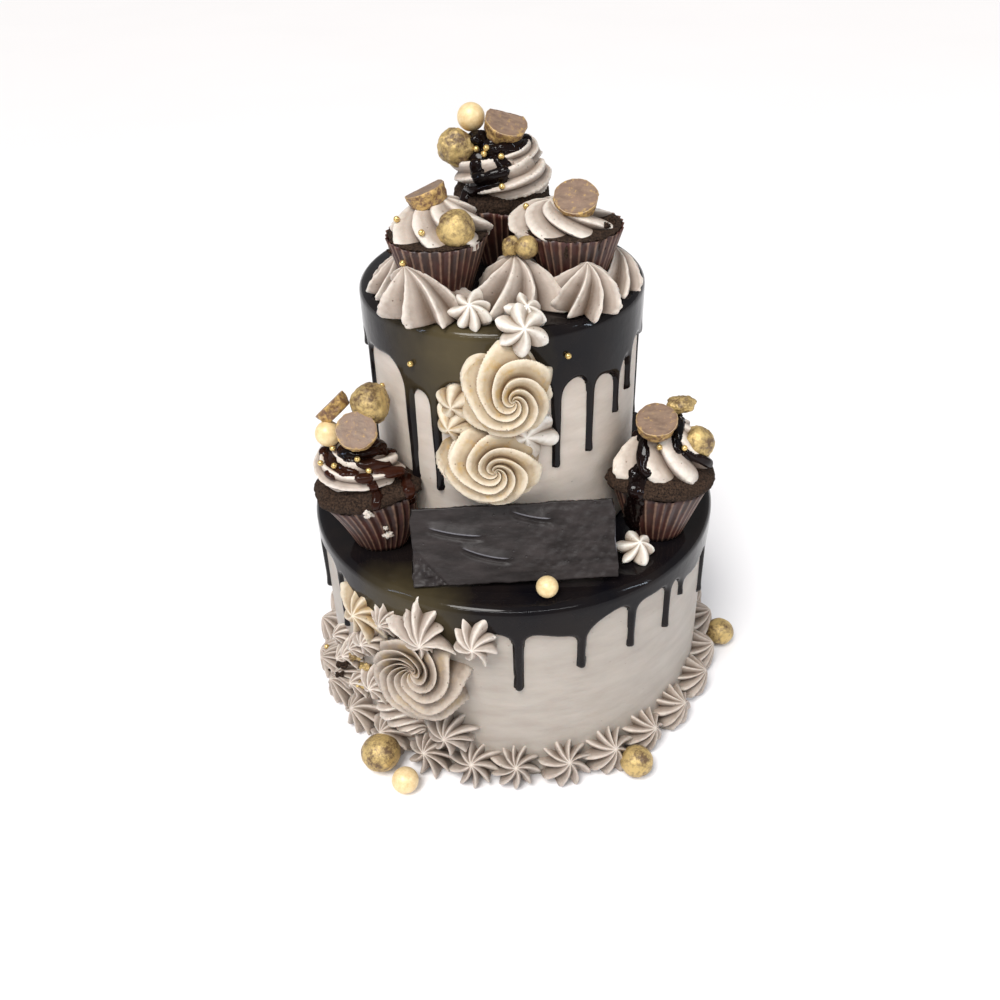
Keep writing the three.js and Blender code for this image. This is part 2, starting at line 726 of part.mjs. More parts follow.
const smallStar = (radius, height) => pipedStar({
  radius, height, petals: 6, crease: 0.36, twist: 12, sink: 5,
});
const topStar = addPiece('top_star', smallStar(11.5, 11).translate(-19, -66, SUMMIT + 4), CREAM);
const rimStar = addPiece('rim_star', fused(
  outFrom(UPPER, smallStar(13.5, 13), { reach: 81, azimuth: 5.5, z: 279.6, elevation: 28 }),
  outFrom(UPPER, smallStar(10.5, 10), { reach: 73, azimuth: 4.5, z: 287, elevation: 60 }),
), CREAM);
const rosetteUpper = addPiece('rosette_upper', outFrom(
  UPPER,
  rosette({ radius: 24.8, height: 13, ridges: 9, turn: 170 }),
  { reach: 80.5, azimuth: 1.5, z: 250.5, elevation: 3 },
), IVORY_CREAM);
const rosetteMiddle = addPiece('rosette_middle', outFrom(
  UPPER,
  rosette({ radius: 28, height: 13, ridges: 10, turn: 170 }),
  { reach: 80, azimuth: -6.6, z: 203, elevation: 3 },
), IVORY_CREAM);
const flankStarLeft = addPiece('flank_star_left', fused(
  outFrom(UPPER, smallStar(11, 9), { reach: 80.5, azimuth: -21.5, z: 239 }),
  outFrom(UPPER, smallStar(10.5, 8), { reach: 80.5, azimuth: -22.5, z: 224, roll: 20 }),
), CREAM);
const flankStarRight = addPiece('flank_star_right', outFrom(
  UPPER,
  smallStar(11.5, 9),
  { reach: 80.5, azimuth: 15.5, z: 222 },
), CREAM);

const upperCutters = [upperWall, upperCoatSolid];
function settleOnUpper(piece, neighbours) {
  cutPiece(piece, [...upperCutters, ...neighbours.map((neighbour) => swollenSolid(neighbour, SKIN))]);
}

settleOnUpper(topStar, [dollops[0], dollops[1], ...Object.values(cases)]);
settleOnUpper(rosetteUpper, [plaque]);
settleOnUpper(rosetteMiddle, [plaque, rosetteUpper]);
settleOnUpper(rimStar, [dollops[0], dollops[7], topStar, rosetteUpper]);
settleOnUpper(flankStarLeft, [rosetteUpper, rosetteMiddle, plaque]);
settleOnUpper(flankStarRight, [rosetteUpper, rosetteMiddle, plaque]);

// The big rose and the stars round it on the lower tier

const rosetteLower = addPiece('rosette_lower', outFrom(
  LOWER,
  rosette({ radius: 29, height: 15, ridges: 11, turn: 150, sink: 6 }),
  { reach: 127, azimuth: -25.2, z: 81, elevation: 8 },
), CREAM);
const CLUSTER = {
  cluster_star_left: { azimuth: -41, z: 115, radius: 14.5, height: 14, elevation: 15 },
  cluster_star_top: { azimuth: -25, z: 121, radius: 17.5, height: 14, elevation: 10 },
  cluster_star_right: { azimuth: -11, z: 112, radius: 14.5, height: 13, elevation: 12 },
};
function clusterStar({ azimuth, z, radius, height, elevation }) {
  const star = pipedStar({ radius, height, petals: 8, crease: 0.3, twist: 16, sink: 6 });
  return outFrom(LOWER, star, { reach: 127, azimuth, z, elevation });
}
const clusterStars = Object.entries(CLUSTER).map(([name, star]) => (
  addPiece(name, clusterStar(star), CREAM)
));

// The border of stars piped into the foot of the lower tier, with a second row at the left

function borderGeometry() {
  const random = seeded(61);
  const star = (azimuth, reach, rise, elevation, radius) => {
    const { height, petals } = BORDER;
    const proportions = { crease: 0.3, twist: 10, sink: 6, form: 'border' };
    const shape = pipedStar({ radius, height, petals, ...proportions });
    const placing = { reach, azimuth, z: rise, elevation, roll: 45 * random() };
    return toSolid(settled(outFrom(LOWER, shape, placing), LOWER));
  };
  let ring = null;
  const share = 360 / BORDER.count;
  for (let i = 0; i < BORDER.count; i += 1) {
    const azimuth = share * i;
    const radius = BORDER.radius * (0.97 + 0.08 * random());
    const lopsided = 1.6 * (random() - 0.5);
    const whole = star(azimuth + lopsided, BORDER.reach, BORDER.rise, BORDER.elevation, radius);
    const [left, right] = [azimuth - share / 2 - 0.1, azimuth + share / 2 + 0.1].map(radians);
    const piece = whole
      .trimByPlane([Math.cos(left), Math.sin(left), 0], 0)
      .trimByPlane([-Math.cos(right), -Math.sin(right), 0], 0);
    ring = ring ? ring.add(piece) : piece;
  }
  const second = [
    { azimuth: -18.3, rise: 38, radius: 16.6 },
    { azimuth: -55, rise: 42, radius: 12 },
    { azimuth: -66, rise: 34, radius: 12 },
  ];
  for (const { azimuth, rise, radius } of second) {
    ring = ring.add(star(azimuth, BORDER.reach - 0.5, rise, 24, radius));
  }
  return toGeometry(ring);
}

const border = addPiece('base_border', borderGeometry(), CREAM);
cutPiece(
  border,
  [lowerWall, underFloor, ...footSweets.map((ball) => swollenSolid(ball, SKIN))],
  BORDER.smoothing,
);

const lowerCutters = [lowerWall, lowerCoatSolid];
function settleOnLower(piece, neighbours) {
  cutPiece(piece, [...lowerCutters, ...neighbours.map((neighbour) => swollenSolid(neighbour, SKIN))]);
}

const clusterLow = addPiece('cluster_stars_low', fused(
  clusterStar({ azimuth: -36, z: 40, radius: 15.5, height: 14, elevation: 25 }),
  clusterStar({ azimuth: -42.5, z: 61, radius: 13.5, height: 14, elevation: 18 }),
), CREAM);
settleOnLower(rosetteLower, [border]);
[...clusterStars, clusterLow].forEach((star, i, all) => {
  settleOnLower(star, [border, rosetteLower, footSweets[0], ...all.slice(0, i)]);
});

// A small star of cream on the ledge beside the right cupcake
const ledgeStar = addPiece('ledge_star', smallStar(11.2, 9).translate(70.5, -79, LEDGE + 4), CREAM);
settleOnLower(ledgeStar, [cases.ledge_right, plaque]);

export default cake;
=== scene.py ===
import itertools
import math

import bmesh
import bpy
import numpy as np
from mathutils import Matrix, Vector
from mathutils.bvhtree import BVHTree


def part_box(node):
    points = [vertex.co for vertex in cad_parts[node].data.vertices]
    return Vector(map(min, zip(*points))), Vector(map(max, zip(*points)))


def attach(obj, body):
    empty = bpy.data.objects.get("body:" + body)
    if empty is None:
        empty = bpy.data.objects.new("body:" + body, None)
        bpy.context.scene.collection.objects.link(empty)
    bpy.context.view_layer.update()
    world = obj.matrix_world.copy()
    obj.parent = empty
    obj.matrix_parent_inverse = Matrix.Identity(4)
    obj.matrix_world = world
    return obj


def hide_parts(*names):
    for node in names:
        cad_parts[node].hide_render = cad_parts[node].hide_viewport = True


# A two-tier celebration cake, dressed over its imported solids. Metres, +Z up, front towards -Y.

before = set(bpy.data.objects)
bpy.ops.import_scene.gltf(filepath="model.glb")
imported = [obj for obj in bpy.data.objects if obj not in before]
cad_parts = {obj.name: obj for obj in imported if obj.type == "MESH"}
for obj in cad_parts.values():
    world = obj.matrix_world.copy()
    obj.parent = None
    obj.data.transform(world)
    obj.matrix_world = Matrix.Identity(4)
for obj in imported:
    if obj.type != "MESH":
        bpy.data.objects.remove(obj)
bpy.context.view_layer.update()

MM = 0.001
TAU = math.tau

# The tiers, read from the frame


def tier_of(node, coat):
    """A tier's axis, foot, top and radius, and the top of its glaze"""
    low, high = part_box(node)
    return {
        "x": (low.x + high.x) / 2,
        "y": (low.y + high.y) / 2,
        "base": low.z,
        "top": high.z,
        "radius": (high.x - low.x) / 2,
        "coat_top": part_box(coat)[1].z,
    }


LOWER = tier_of("lower_tier", "lower_ganache")
UPPER = tier_of("upper_tier", "upper_ganache")
LEDGE = LOWER["coat_top"]
SUMMIT = UPPER["coat_top"]
RIM_BEVEL = 3.4 * MM
# The glaze: its thickness, the size of its mesh cells, and how far in from its edge it is full thick
COAT_THICKNESS = 2.5 * MM
COAT_CELL = 0.93 * MM
COAT_LIP = 2.1 * MM
# The scraped cream: how far it lies inside a tier's wall, and how fine its mesh is
CREAM_INSET = 0.3 * MM
TIER_COLUMNS, TIER_ROWS = 300, 60
# How torn the ridges of a rope of cream are, and how many points a rose's blade has across
ROPE_RAGGED = 0.6 * MM
ROSE_FINE = 18
# Small dragees: their radius, and how high their middle lies over the cream as a share of it
DRAGEE_RADIUS = 1.7 * MM
DRAGEE_LIFT = 0.8

# Camera: where the photograph was taken from

CAMERA_PLACE = Vector((0, -547.5 * MM, 509.4 * MM))
CAMERA_PITCH = math.radians(35.21)
CAMERA_YAW = math.radians(-0.92)
CAMERA_ROLL = math.radians(-1.73)
CAMERA_LENS = 36.81
SENSOR = 36.0
# The photograph's width and height in pixels
PHOTO_SIZE = 1000


def camera_axes():
    """The camera's right, up and forward directions"""
    forward = Vector((
        math.sin(CAMERA_YAW) * math.cos(CAMERA_PITCH),
        math.cos(CAMERA_YAW) * math.cos(CAMERA_PITCH),
        -math.sin(CAMERA_PITCH),
    ))
    level = Vector((math.cos(CAMERA_YAW), -math.sin(CAMERA_YAW), 0))
    upright = level.cross(forward)
    cosine, sine = math.cos(CAMERA_ROLL), math.sin(CAMERA_ROLL)
    return cosine * level + sine * upright, cosine * upright - sine * level, forward


def add_camera():
    """Looks at the cake as the photograph does"""
    right, up, forward = camera_axes()
    data = bpy.data.cameras.new("camera")
    data.lens = CAMERA_LENS
    data.sensor_width = SENSOR
    axes = Matrix((right, up, -forward)).transposed().to_4x4()
    matrix = Matrix.Translation(CAMERA_PLACE) @ axes
    bpy.context.scene.camera = linked_object("camera", data, matrix)


def pixel_ray(u, v):
    """The direction from the camera through a pixel of the photograph"""
    right, up, forward = camera_axes()
    focal = PHOTO_SIZE * CAMERA_LENS / SENSOR
    across, down = (u - PHOTO_SIZE / 2) / focal, (v - PHOTO_SIZE / 2) / focal
    return (forward + right * across - up * down).normalized()


# Numbers


def seeded(seed):
    """A repeatable stream of numbers from 0 to 1"""
    state = seed

    def draw():
        nonlocal state
        state = state * 16807 % 2147483647
        return state / 2147483647

    return draw


def noise(points, size, seed=0):
    """Smooth noise from -1 to 1, with bumps of about the given size"""
    cell = np.asarray(points) / size + 31.7 * seed
    corner = np.floor(cell).astype(np.int64)
    share = cell - corner
    share = share * share * (3 - 2 * share)
    total = np.zeros(cell.shape[:-1])
    for step in itertools.product((0, 1), repeat=3):
        x, y, z = np.moveaxis(corner + step, -1, 0)
        mixed = (x * 73856093) ^ (y * 19349663) ^ (z * 83492791)
        mixed = (mixed ^ (mixed >> 13)) * 1274126177 & 0xFFFFFFFF
        weight = np.prod(np.where(step, share, 1 - share), axis=-1)
        total += weight * (mixed / 2**31 - 1)
    return total


def blend_max(a, b, width):
    """The larger of two fields, with a rounded fillet of the given width where they cross"""
    return np.maximum(a, b) + np.maximum(width - np.abs(a - b), 0) ** 2 / (4 * width)


def ease(value, low, high):
    """Rises smoothly from 0 at the low value to 1 at the high one"""
    share = np.clip((value - low) / (high - low), 0, 1)
    return share * share * (3 - 2 * share)


def layered(points, seed, *layers):
    """Noise of several sizes added up, each given by its size and its amount in mm"""
    return sum(noise(points, size * MM, seed + i) * amount * MM for i, (size, amount) in enumerate(layers))


def in_mm(*lengths):
    """Lengths given in mm, in metres"""
    return np.array(lengths) * MM


def full_turn(steps):
    """Evenly spread angles, once round"""
    return np.linspace(0, TAU, steps, endpoint=False)


def smooth_outline(stops, count):
    """Points on a smooth curve through the stops, which are evenly shared along it"""
    stops = np.array(stops, dtype=float)
    padded = np.vstack([2 * stops[0] - stops[1], stops, 2 * stops[-1] - stops[-2]])
    place = np.linspace(0, len(stops) - 1, count)
    index = np.minimum(place.astype(int), len(stops) - 2)
    t = (place - index)[:, None]
    a, b, c, d = (padded[index + k] for k in range(4))
    cubic = (2 * b) + (c - a) * t + (2 * a - 5 * b + 4 * c - d) * t**2 + (3 * b - a - 3 * c + d) * t**3
    return cubic / 2


def turned_z(points, angle):
    cosine, sine = math.cos(angle), math.sin(angle)
    x, y, z = np.moveaxis(points, -1, 0)
    return np.stack([cosine * x - sine * y, sine * x + cosine * y, z], -1)


def turned_x(points, angle):
    cosine, sine = math.cos(angle), math.sin(angle)
    x, y, z = np.moveaxis(points, -1, 0)
    return np.stack([x, cosine * y - sine * z, sine * y + cosine * z], -1)


def aimed(points, place, azimuth, elevation, roll=0.0):
    """Points a shape's +Z axis out at an azimuth from the front, raised by an elevation"""
    tipped = turned_x(turned_z(points, math.radians(roll)), math.radians(90 - elevation))
    return turned_z(tipped, math.radians(azimuth)) + np.array(place)


def on_wall(tier, reach, azimuth, z):
    """A place at a reach from a tier's axis, at an azimuth from the front"""
    turn = math.radians(azimuth)
    return tier["x"] + reach * math.sin(turn), tier["y"] - reach * math.cos(turn), z


# Meshes


def lattice_faces(rows, columns):
    """Quads between neighbouring rows of points, closed round each row"""
    row = np.arange(rows - 1)[:, None] * columns
    column = np.arange(columns)[None, :]
    after = (column + 1) % columns
    corners = [row + column, row + after, row + columns + after, row + columns + column]
    return np.stack(corners, -1).reshape(-1, 4)


def fan_faces(ring_start, columns, pole, inwards):
    """Triangles between a ring of points and a single one"""
    column = np.arange(columns)
    after = (column + 1) % columns
    pair = (after, column) if inwards else (column, after)
    return np.stack([np.full(columns, pole), ring_start + pair[0], ring_start + pair[1]], -1)


def lofted(rings, foot, tip, field=None):
    """A closed skin through rings of points, with a point at its foot and one at its tip"""
    rows, columns = rings.shape[:2]
    points = np.vstack([rings.reshape(-1, 3), foot, tip])
    last = rows * columns
    faces = lattice_faces(rows, columns).tolist()
    faces += fan_faces(0, columns, last, True).tolist()
    faces += fan_faces((rows - 1) * columns, columns, last + 1, False).tolist()
    values = None if field is None else np.concatenate([field.ravel(), [0, 1]])
    return {"points": points, "faces": faces, "ridge": values}


def joined(shapes):
    """Several shapes as one"""
    points, faces, ridges = [], [], []
    for shape in shapes:
        start = sum(len(block) for block in points)
        points.append(shape["points"])
        faces += [[start + corner for corner in face] for face in shape["faces"]]
        ridges.append(np.zeros(len(shape["points"])) if shape["ridge"] is None else shape["ridge"])
    return {"points": np.vstack(points), "faces": faces, "ridge": np.concatenate(ridges)}


def moved(shape, change):
    """A shape with its points put through a function"""
    return {**shape, "points": change(shape["points"])}


def plain_mesh(name, shape):
    """A shape's points and faces as a mesh"""
    mesh = bpy.data.meshes.new(name)
    mesh.from_pydata(shape["points"].tolist(), [], shape["faces"])
    return mesh


def linked_object(name, data, matrix=None):
    """An object in the scene, placed by a matrix if one is given"""
    item = bpy.data.objects.new(name, data)
    if matrix is not None:
        item.matrix_world = matrix
    bpy.context.collection.objects.link(item)
    return item


def add_piece(name, shape, material, slot, *nodes):
    """Makes a shape into an object that rides with the cake and stands for CAD nodes"""
    mesh = plain_mesh(name, shape)
    mesh.shade_smooth()
    if shape["ridge"] is not None:
        layer = mesh.attributes.new("ridge", "FLOAT", "POINT")
        layer.data.foreach_set("value", np.asarray(shape["ridge"], dtype=np.float32))
    mesh.materials.append(material)
    piece = linked_object(name, mesh)
    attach(piece, "root")
    if nodes:
        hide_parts(*nodes)


# Materials


def start_material(name, **uniform):
    """A new material, its node tree, and its shader with the given values set"""
    material = bpy.data.materials.new(name)
    material.use_nodes = True
    shader = material.node_tree.nodes["Principled BSDF"]
    for socket, value in uniform.items():
        shader.inputs[socket.replace("_", " ")].default_value = value
    return material, material.node_tree, shader


def add_node(tree, kind, inputs=None, **settings):
    """A shader node with its settings, and its inputs linked or given values"""
    node = tree.nodes.new(kind)
    for key, value in settings.items():
        setattr(node, key, value)
    for socket, value in (inputs or {}).items():
        if isinstance(value, bpy.types.NodeSocket):
            tree.links.new(value, node.inputs[socket])
        else:
            node.inputs[socket].default_value = value
    return node


def object_place(tree):
    return add_node(tree, "ShaderNodeTexCoord").outputs["Object"]


def noise_field(tree, size, detail=3.0, roughness=0.55, stretch=(1, 1, 1)):
    """A noise texture whose features are about the given size in metres"""
    place = add_node(tree, "ShaderNodeMapping", {"Vector": object_place(tree), "Scale": stretch})
    inputs = {
        "Vector": place.outputs[0], "Scale": 1 / size, "Detail": detail, "Roughness": roughness,
    }
    return add_node(tree, "ShaderNodeTexNoise", inputs).outputs["Fac"]


def ranged(tree, value, low, high, to_low, to_high):
    inputs = {0: value, 1: low, 2: high, 3: to_low, 4: to_high}
    return add_node(tree, "ShaderNodeMapRange", inputs).outputs[0]


def pit_field(tree, size, depth):
    """Small round pits: 0 in a pit and 1 outside"""
    inputs = {"Vector": object_place(tree), "Scale": 1 / size}
    cells = add_node(tree, "ShaderNodeTexVoronoi", inputs)
    return ranged(tree, cells.outputs["Distance"], 0, depth, 0, 1)


def ridge_field(tree):
    """How far a point stands on a ridge, 0 to 1, as its mesh carries it"""
    return add_node(tree, "ShaderNodeAttribute", attribute_name="ridge").outputs["Fac"]


def mottled(tree, size):
    """Soft patches from 0 to 1"""
    return ranged(tree, noise_field(tree, size), 0.35, 0.7, 0, 1)


def computed(tree, kind, first, second):
    return add_node(tree, "ShaderNodeMath", {0: first, 1: second}, operation=kind).outputs[0]


def plus(tree, field, other, amount):
    """A field with an amount of another one added to it"""
    return computed(tree, "ADD", field, computed(tree, "MULTIPLY", other, amount))


def linear(red, green, blue):
    """A colour picked on screen, as the light values that a shader takes"""
    def one(value):
        share = value / 255
        return share / 12.92 if share <= 0.04045 else ((share + 0.055) / 1.055) ** 2.4

    return one(red), one(green), one(blue), 1.0


def mixed_color(tree, factor, first, second):
    """Mixes two colours, each a socket or red, green and blue from 0 to 255 as on a screen"""
    node = tree.nodes.new("ShaderNodeMix")
    node.data_type = "RGBA"
    for name, value in (("Factor", factor), ("A", first), ("B", second)):
        socket = next(s for s in node.inputs if s.name == name and s.enabled)
        if isinstance(value, bpy.types.NodeSocket):
            tree.links.new(value, socket)
        else:
            socket.default_value = linear(*value) if isinstance(value, tuple) else value
    return next(s for s in node.outputs if s.enabled)


def toned(tree, field, low, high, first, second, most=1):
    """A colour that goes from the first towards the second as a field rises from low to high"""
    return mixed_color(tree, ranged(tree, field, low, high, 0, most), first, second)


def put(tree, shader, **fields):
    """Links fields to the shader's sockets"""
    for socket, field in fields.items():
        tree.links.new(field, shader.inputs[socket.replace("_", " ")])


def put_bump(tree, shader, height, distance, strength):
    inputs = {"Height": height, "Distance": distance, "Strength": strength}
    put(tree, shader, Normal=add_node(tree, "ShaderNodeBump", inputs).outputs["Normal"])


def cream_material(name, shade, body, light, lustre=None):
    """Piped buttercream with painted shade in its creases and small pits, and a painted highlight along
    its ridges
    """
    material, tree, shader = start_material(
        name, Roughness=0.55, Subsurface_Weight=0.05, Subsurface_Scale=1.5 * MM,
    )
    ridge = ridge_field(tree)
    highlight_and_bump_noise = noise_field(tree, 3 * MM, detail=4)
    pits = pit_field(tree, 4.5 * MM, 0.13)
    color = mixed_color(tree, mottled(tree, 14 * MM), body, mixed_color(tree, 0.6, shade, body))
    if lustre:
        dust = noise_field(tree, 11 * MM, detail=5, roughness=0.72)
        color = toned(tree, dust, 0.5, 0.66, color, lustre, 0.85)
    # Painted shade in the creases, from the ridge value that the mesh carries
    color = toned(tree, ridge, 0, 0.5, shade, color)
    # Painted highlight along the ridge tops, broken up by fine noise
    color = toned(tree, plus(tree, ridge, highlight_and_bump_noise, 0.3), 0.8, 1.14, color, light, 0.95)
    # Painted shade in the small pits
    put(tree, shader, Base_Color=mixed_color(tree, pits, shade, color))
    height = plus(tree, noise_field(tree, 1.1 * MM, detail=4), pits, 1.2)
    put_bump(tree, shader, computed(tree, "ADD", height, highlight_and_bump_noise), 0.3 * MM, 0.8)
    return material


def coat_cream_material(name, pale, dull):
    """The scraped cream of a tier, with faint smears and a few pits painted dark as shade"""
    material, tree, shader = start_material(
        name, Roughness=0.5, Subsurface_Weight=0.1, Subsurface_Scale=2.5 * MM,
    )
    smear = noise_field(tree, 30 * MM, detail=5, roughness=0.6, stretch=(1, 1, 3.5))
    pits = pit_field(tree, 9 * MM, 0.07)
    color = toned(tree, smear, 0.35, 0.68, pale, dull)
    # Painted shade in the pits
    put(tree, shader, Base_Color=mixed_color(tree, pits, (140, 126, 114), color))
    fine = noise_field(tree, 2.2 * MM, detail=4, stretch=(1, 1, 2.5))
    height = computed(tree, "ADD", plus(tree, fine, smear, 2), pits)
    put_bump(tree, shader, height, 0.3 * MM, 0.6)
    return material


def ganache_material(name, dark, warm, roughness, reflected_color=None, reflection_spots=()):
    """Glossy chocolate with slow waves, and a painted reflection of another colour round some spots"""
    material, tree, shader = start_material(
        name, Specular_IOR_Level=0.06, Coat_Weight=0.2, Coat_Roughness=0.04,
    )
    cloud = noise_field(tree, 36 * MM, detail=3)
    color = toned(tree, cloud, 0.35, 0.65, dark, warm)
    for spot in reflection_spots:
        inputs = {0: object_place(tree), 1: spot}
        away = add_node(tree, "ShaderNodeVectorMath", inputs, operation="DISTANCE").outputs["Value"]
        share = ranged(tree, plus(tree, away, cloud, 50 * MM), 32 * MM, 76 * MM, 0.9, 0)
        # Painted reflection: an olive tint round each spot
        color = mixed_color(tree, share, color, reflected_color)
    dulled = noise_field(tree, 12 * MM, detail=4)
    gloss = ranged(tree, dulled, 0.3, 0.7, roughness * 0.7, roughness * 1.5)
    put(tree, shader, Base_Color=color, Roughness=gloss)
    put_bump(tree, shader, noise_field(tree, 7 * MM, detail=3), 0.35 * MM, 0.6)
    return material


def plaque_material():
    """Moulded dark chocolate: satin, pitted and faintly streaked, with painted shade in its pits and a
    painted highlight along the edges of its folds
    """
    material, tree, shader = start_material("moulded_chocolate", Roughness=0.42, Specular_IOR_Level=0.2)
    streaks = noise_field(tree, 18 * MM, detail=5, stretch=(1, 3, 3))
    pits = pit_field(tree, 6 * MM, 0.12)
    color = toned(tree, streaks, 0.35, 0.7, (30, 25, 24), (52, 46, 45))
    # Painted shade in the pits
    color = mixed_color(tree, pits, (28, 24, 24), color)
    # Painted highlight along the edges of the folds, which the mesh carries as its ridge value
    put(tree, shader, Base_Color=toned(tree, ridge_field(tree), 0.3, 1, color, (140, 138, 144), 0.8))
    put_bump(tree, shader, plus(tree, streaks, pits, 0.8), 0.5 * MM, 0.7)
    return material


def crumb_material():
    """Dark chocolate sponge with an open crumb"""
    material, tree, shader = start_material("crumb", Roughness=0.85, Specular_IOR_Level=0.12)
    grains = noise_field(tree, 1.2 * MM, detail=6, roughness=0.75)
    put(tree, shader, Base_Color=toned(tree, grains, 0.38, 0.66, (22, 16, 13), (84, 65, 52)))
    put_bump(tree, shader, grains, 1.4 * MM, 1)
    return material


def paper_material():
    """Pleated brown paper with greasy reddish patches and a painted highlight along its folds"""
    material, tree, shader = start_material("case_paper", Roughness=0.45)
    tone = mixed_color(tree, mottled(tree, 9 * MM), (44, 26, 21), (72, 34, 27))
    fold = plus(tree, ridge_field(tree), noise_field(tree, 3 * MM), 0.5)
    # Painted highlight on the crests of the pleats
    put(tree, shader, Base_Color=toned(tree, fold, 0.85, 1.35, tone, (142, 112, 92)))
    put_bump(tree, shader, noise_field(tree, 1.5 * MM), 0.12 * MM, 0.5)
    return material


def truffle_material():
    """A brown crust brushed with gold lustre"""
    material, tree, shader = start_material("gilded_truffle")
    dust = noise_field(tree, 1.8 * MM, detail=7, roughness=0.72)
    patches = computed(tree, "MULTIPLY", noise_field(tree, 9 * MM, detail=2), 0.5)
    gilt = ranged(tree, plus(tree, patches, dust, 0.5), 0.405, 0.565, 0, 1)
    put(
        tree, shader,
        Base_Color=mixed_color(tree, gilt, (92, 68, 42), (206, 178, 118)),
        Metallic=ranged(tree, gilt, 0, 1, 0, 0.55),
        Roughness=ranged(tree, dust, 0.3, 0.7, 0.3, 0.6),
    )
    put_bump(tree, shader, dust, 0.6 * MM, 0.6)
    return material


def cup_material():
    """Milk chocolate, bare on its face and brushed with gold round its ragged side, with a painted
    highlight round the rim of its face
    """
    material, tree, shader = start_material("gilded_cup")
    dust = noise_field(tree, 3 * MM, detail=7, roughness=0.72)
    face = ridge_field(tree)
    cover = ranged(tree, face, 0, 1, 0.5, 0.625)
    gilt = ranged(tree, computed(tree, "SUBTRACT", dust, cover), -0.06, 0.06, 0, 1)
    scratches = noise_field(tree, 5 * MM, detail=5, stretch=(1, 2.5, 1))
    bare = toned(tree, scratches, 0.4, 0.7, (112, 90, 76), (142, 119, 98))
    bare = mixed_color(tree, mottled(tree, 6 * MM), bare, (136, 110, 92))
    bare = mixed_color(tree, face, (112, 80, 54), bare)
    # Painted highlight: a pale band round the ragged rim of the face
    rim = ranged(tree, plus(tree, ranged(tree, face, 0.25, 0.9, 1, 0), dust, 0.5), 0.9, 1.1, 0, 0.8)
    rim = computed(tree, "MULTIPLY", rim, ranged(tree, face, 0.1, 0.3, 0, 1))
    bare = mixed_color(tree, rim, bare, (206, 182, 146))
    put(
        tree, shader,
        Base_Color=mixed_color(tree, gilt, bare, (192, 158, 98)),
        Metallic=ranged(tree, gilt, 0, 1, 0, 0.4),
        Roughness=ranged(tree, dust, 0.3, 0.7, 0.35, 0.6),
    )
    put_bump(tree, shader, dust, 0.5 * MM, 0.6)
    return material


def pearl_material():
    """A sugar pearl's satin gold skin"""
    material, tree, shader = start_material("sugar_pearl", Roughness=0.42, Metallic=0.12)
    bloom = noise_field(tree, 3 * MM, detail=6, roughness=0.7)
    put(tree, shader, Base_Color=toned(tree, bloom, 0.35, 0.7, (238, 214, 166), (216, 184, 130)))
    put_bump(tree, shader, bloom, 0.08 * MM, 0.5)
    return material


def dragee_material():
    """A small dragee's polished gold"""
    material, tree, shader = start_material("gold_dragee", Roughness=0.25, Metallic=0.7)
    bloom = noise_field(tree, 1.2 * MM, detail=3)
    put(tree, shader, Base_Color=toned(tree, bloom, 0.35, 0.7, (236, 208, 140), (190, 152, 84)))
    return material


def floor_material():
    material, tree, shader = start_material("pale_floor", Roughness=0.7)
    tone = noise_field(tree, 0.4, detail=2)
    put(tree, shader, Base_Color=mixed_color(tree, tone, (246, 244, 245), (242, 240, 241)))
    return material


CREAM = cream_material("piped_cream", (92, 72, 56), (180, 165, 152), (226, 216, 204))
BORDER_CREAM = cream_material("border_cream", (88, 70, 56), (166, 152, 140), (210, 198, 186))
PALE_CREAM = cream_material("pale_cream", (120, 98, 76), (208, 196, 182), (242, 236, 226))
GOLDEN_CREAM = cream_material(
    "golden_cream", (78, 60, 44), (152, 136, 121), (198, 184, 169), lustre=(164, 140, 104),
)
IVORY = cream_material(
    "ivory_cream", (98, 66, 34), (184, 164, 134), (226, 213, 191), lustre=(182, 146, 82),
)
# The two tiers are one cream in lit and shaded copies: the lower one is painted darker, as painted shade,
# and the upper one paler, as painted light
LOWER_CREAM = coat_cream_material("lower_scraped_cream", (174, 165, 155), (162, 152, 142))
UPPER_CREAM = coat_cream_material("upper_scraped_cream", (202, 190, 178), (188, 175, 162))
# Where the left front of each glaze has a painted olive reflection
GLAZE_REFLECTION_SPOTS = [(-60 * MM, -112 * MM, 108 * MM), (-28 * MM, -74 * MM, 268 * MM)]
GANACHE = ganache_material("ganache", (11, 10, 14), (25, 20, 19), 0.11, (80, 70, 48), GLAZE_REFLECTION_SPOTS)
SAUCE = ganache_material("sauce", (8, 6, 7), (26, 13, 10), 0.06)
WARM_SAUCE = ganache_material("warm_sauce", (16, 8, 6), (56, 26, 15), 0.06)
PLAQUE_CHOCOLATE = plaque_material()
CRUMB = crumb_material()
PAPER = paper_material()
TRUFFLE = truffle_material()
CUP = cup_material()
PEARL = pearl_material()
DRAGEE = dragee_material()
FLOOR = floor_material()

# Tiers: scraped drums of cream


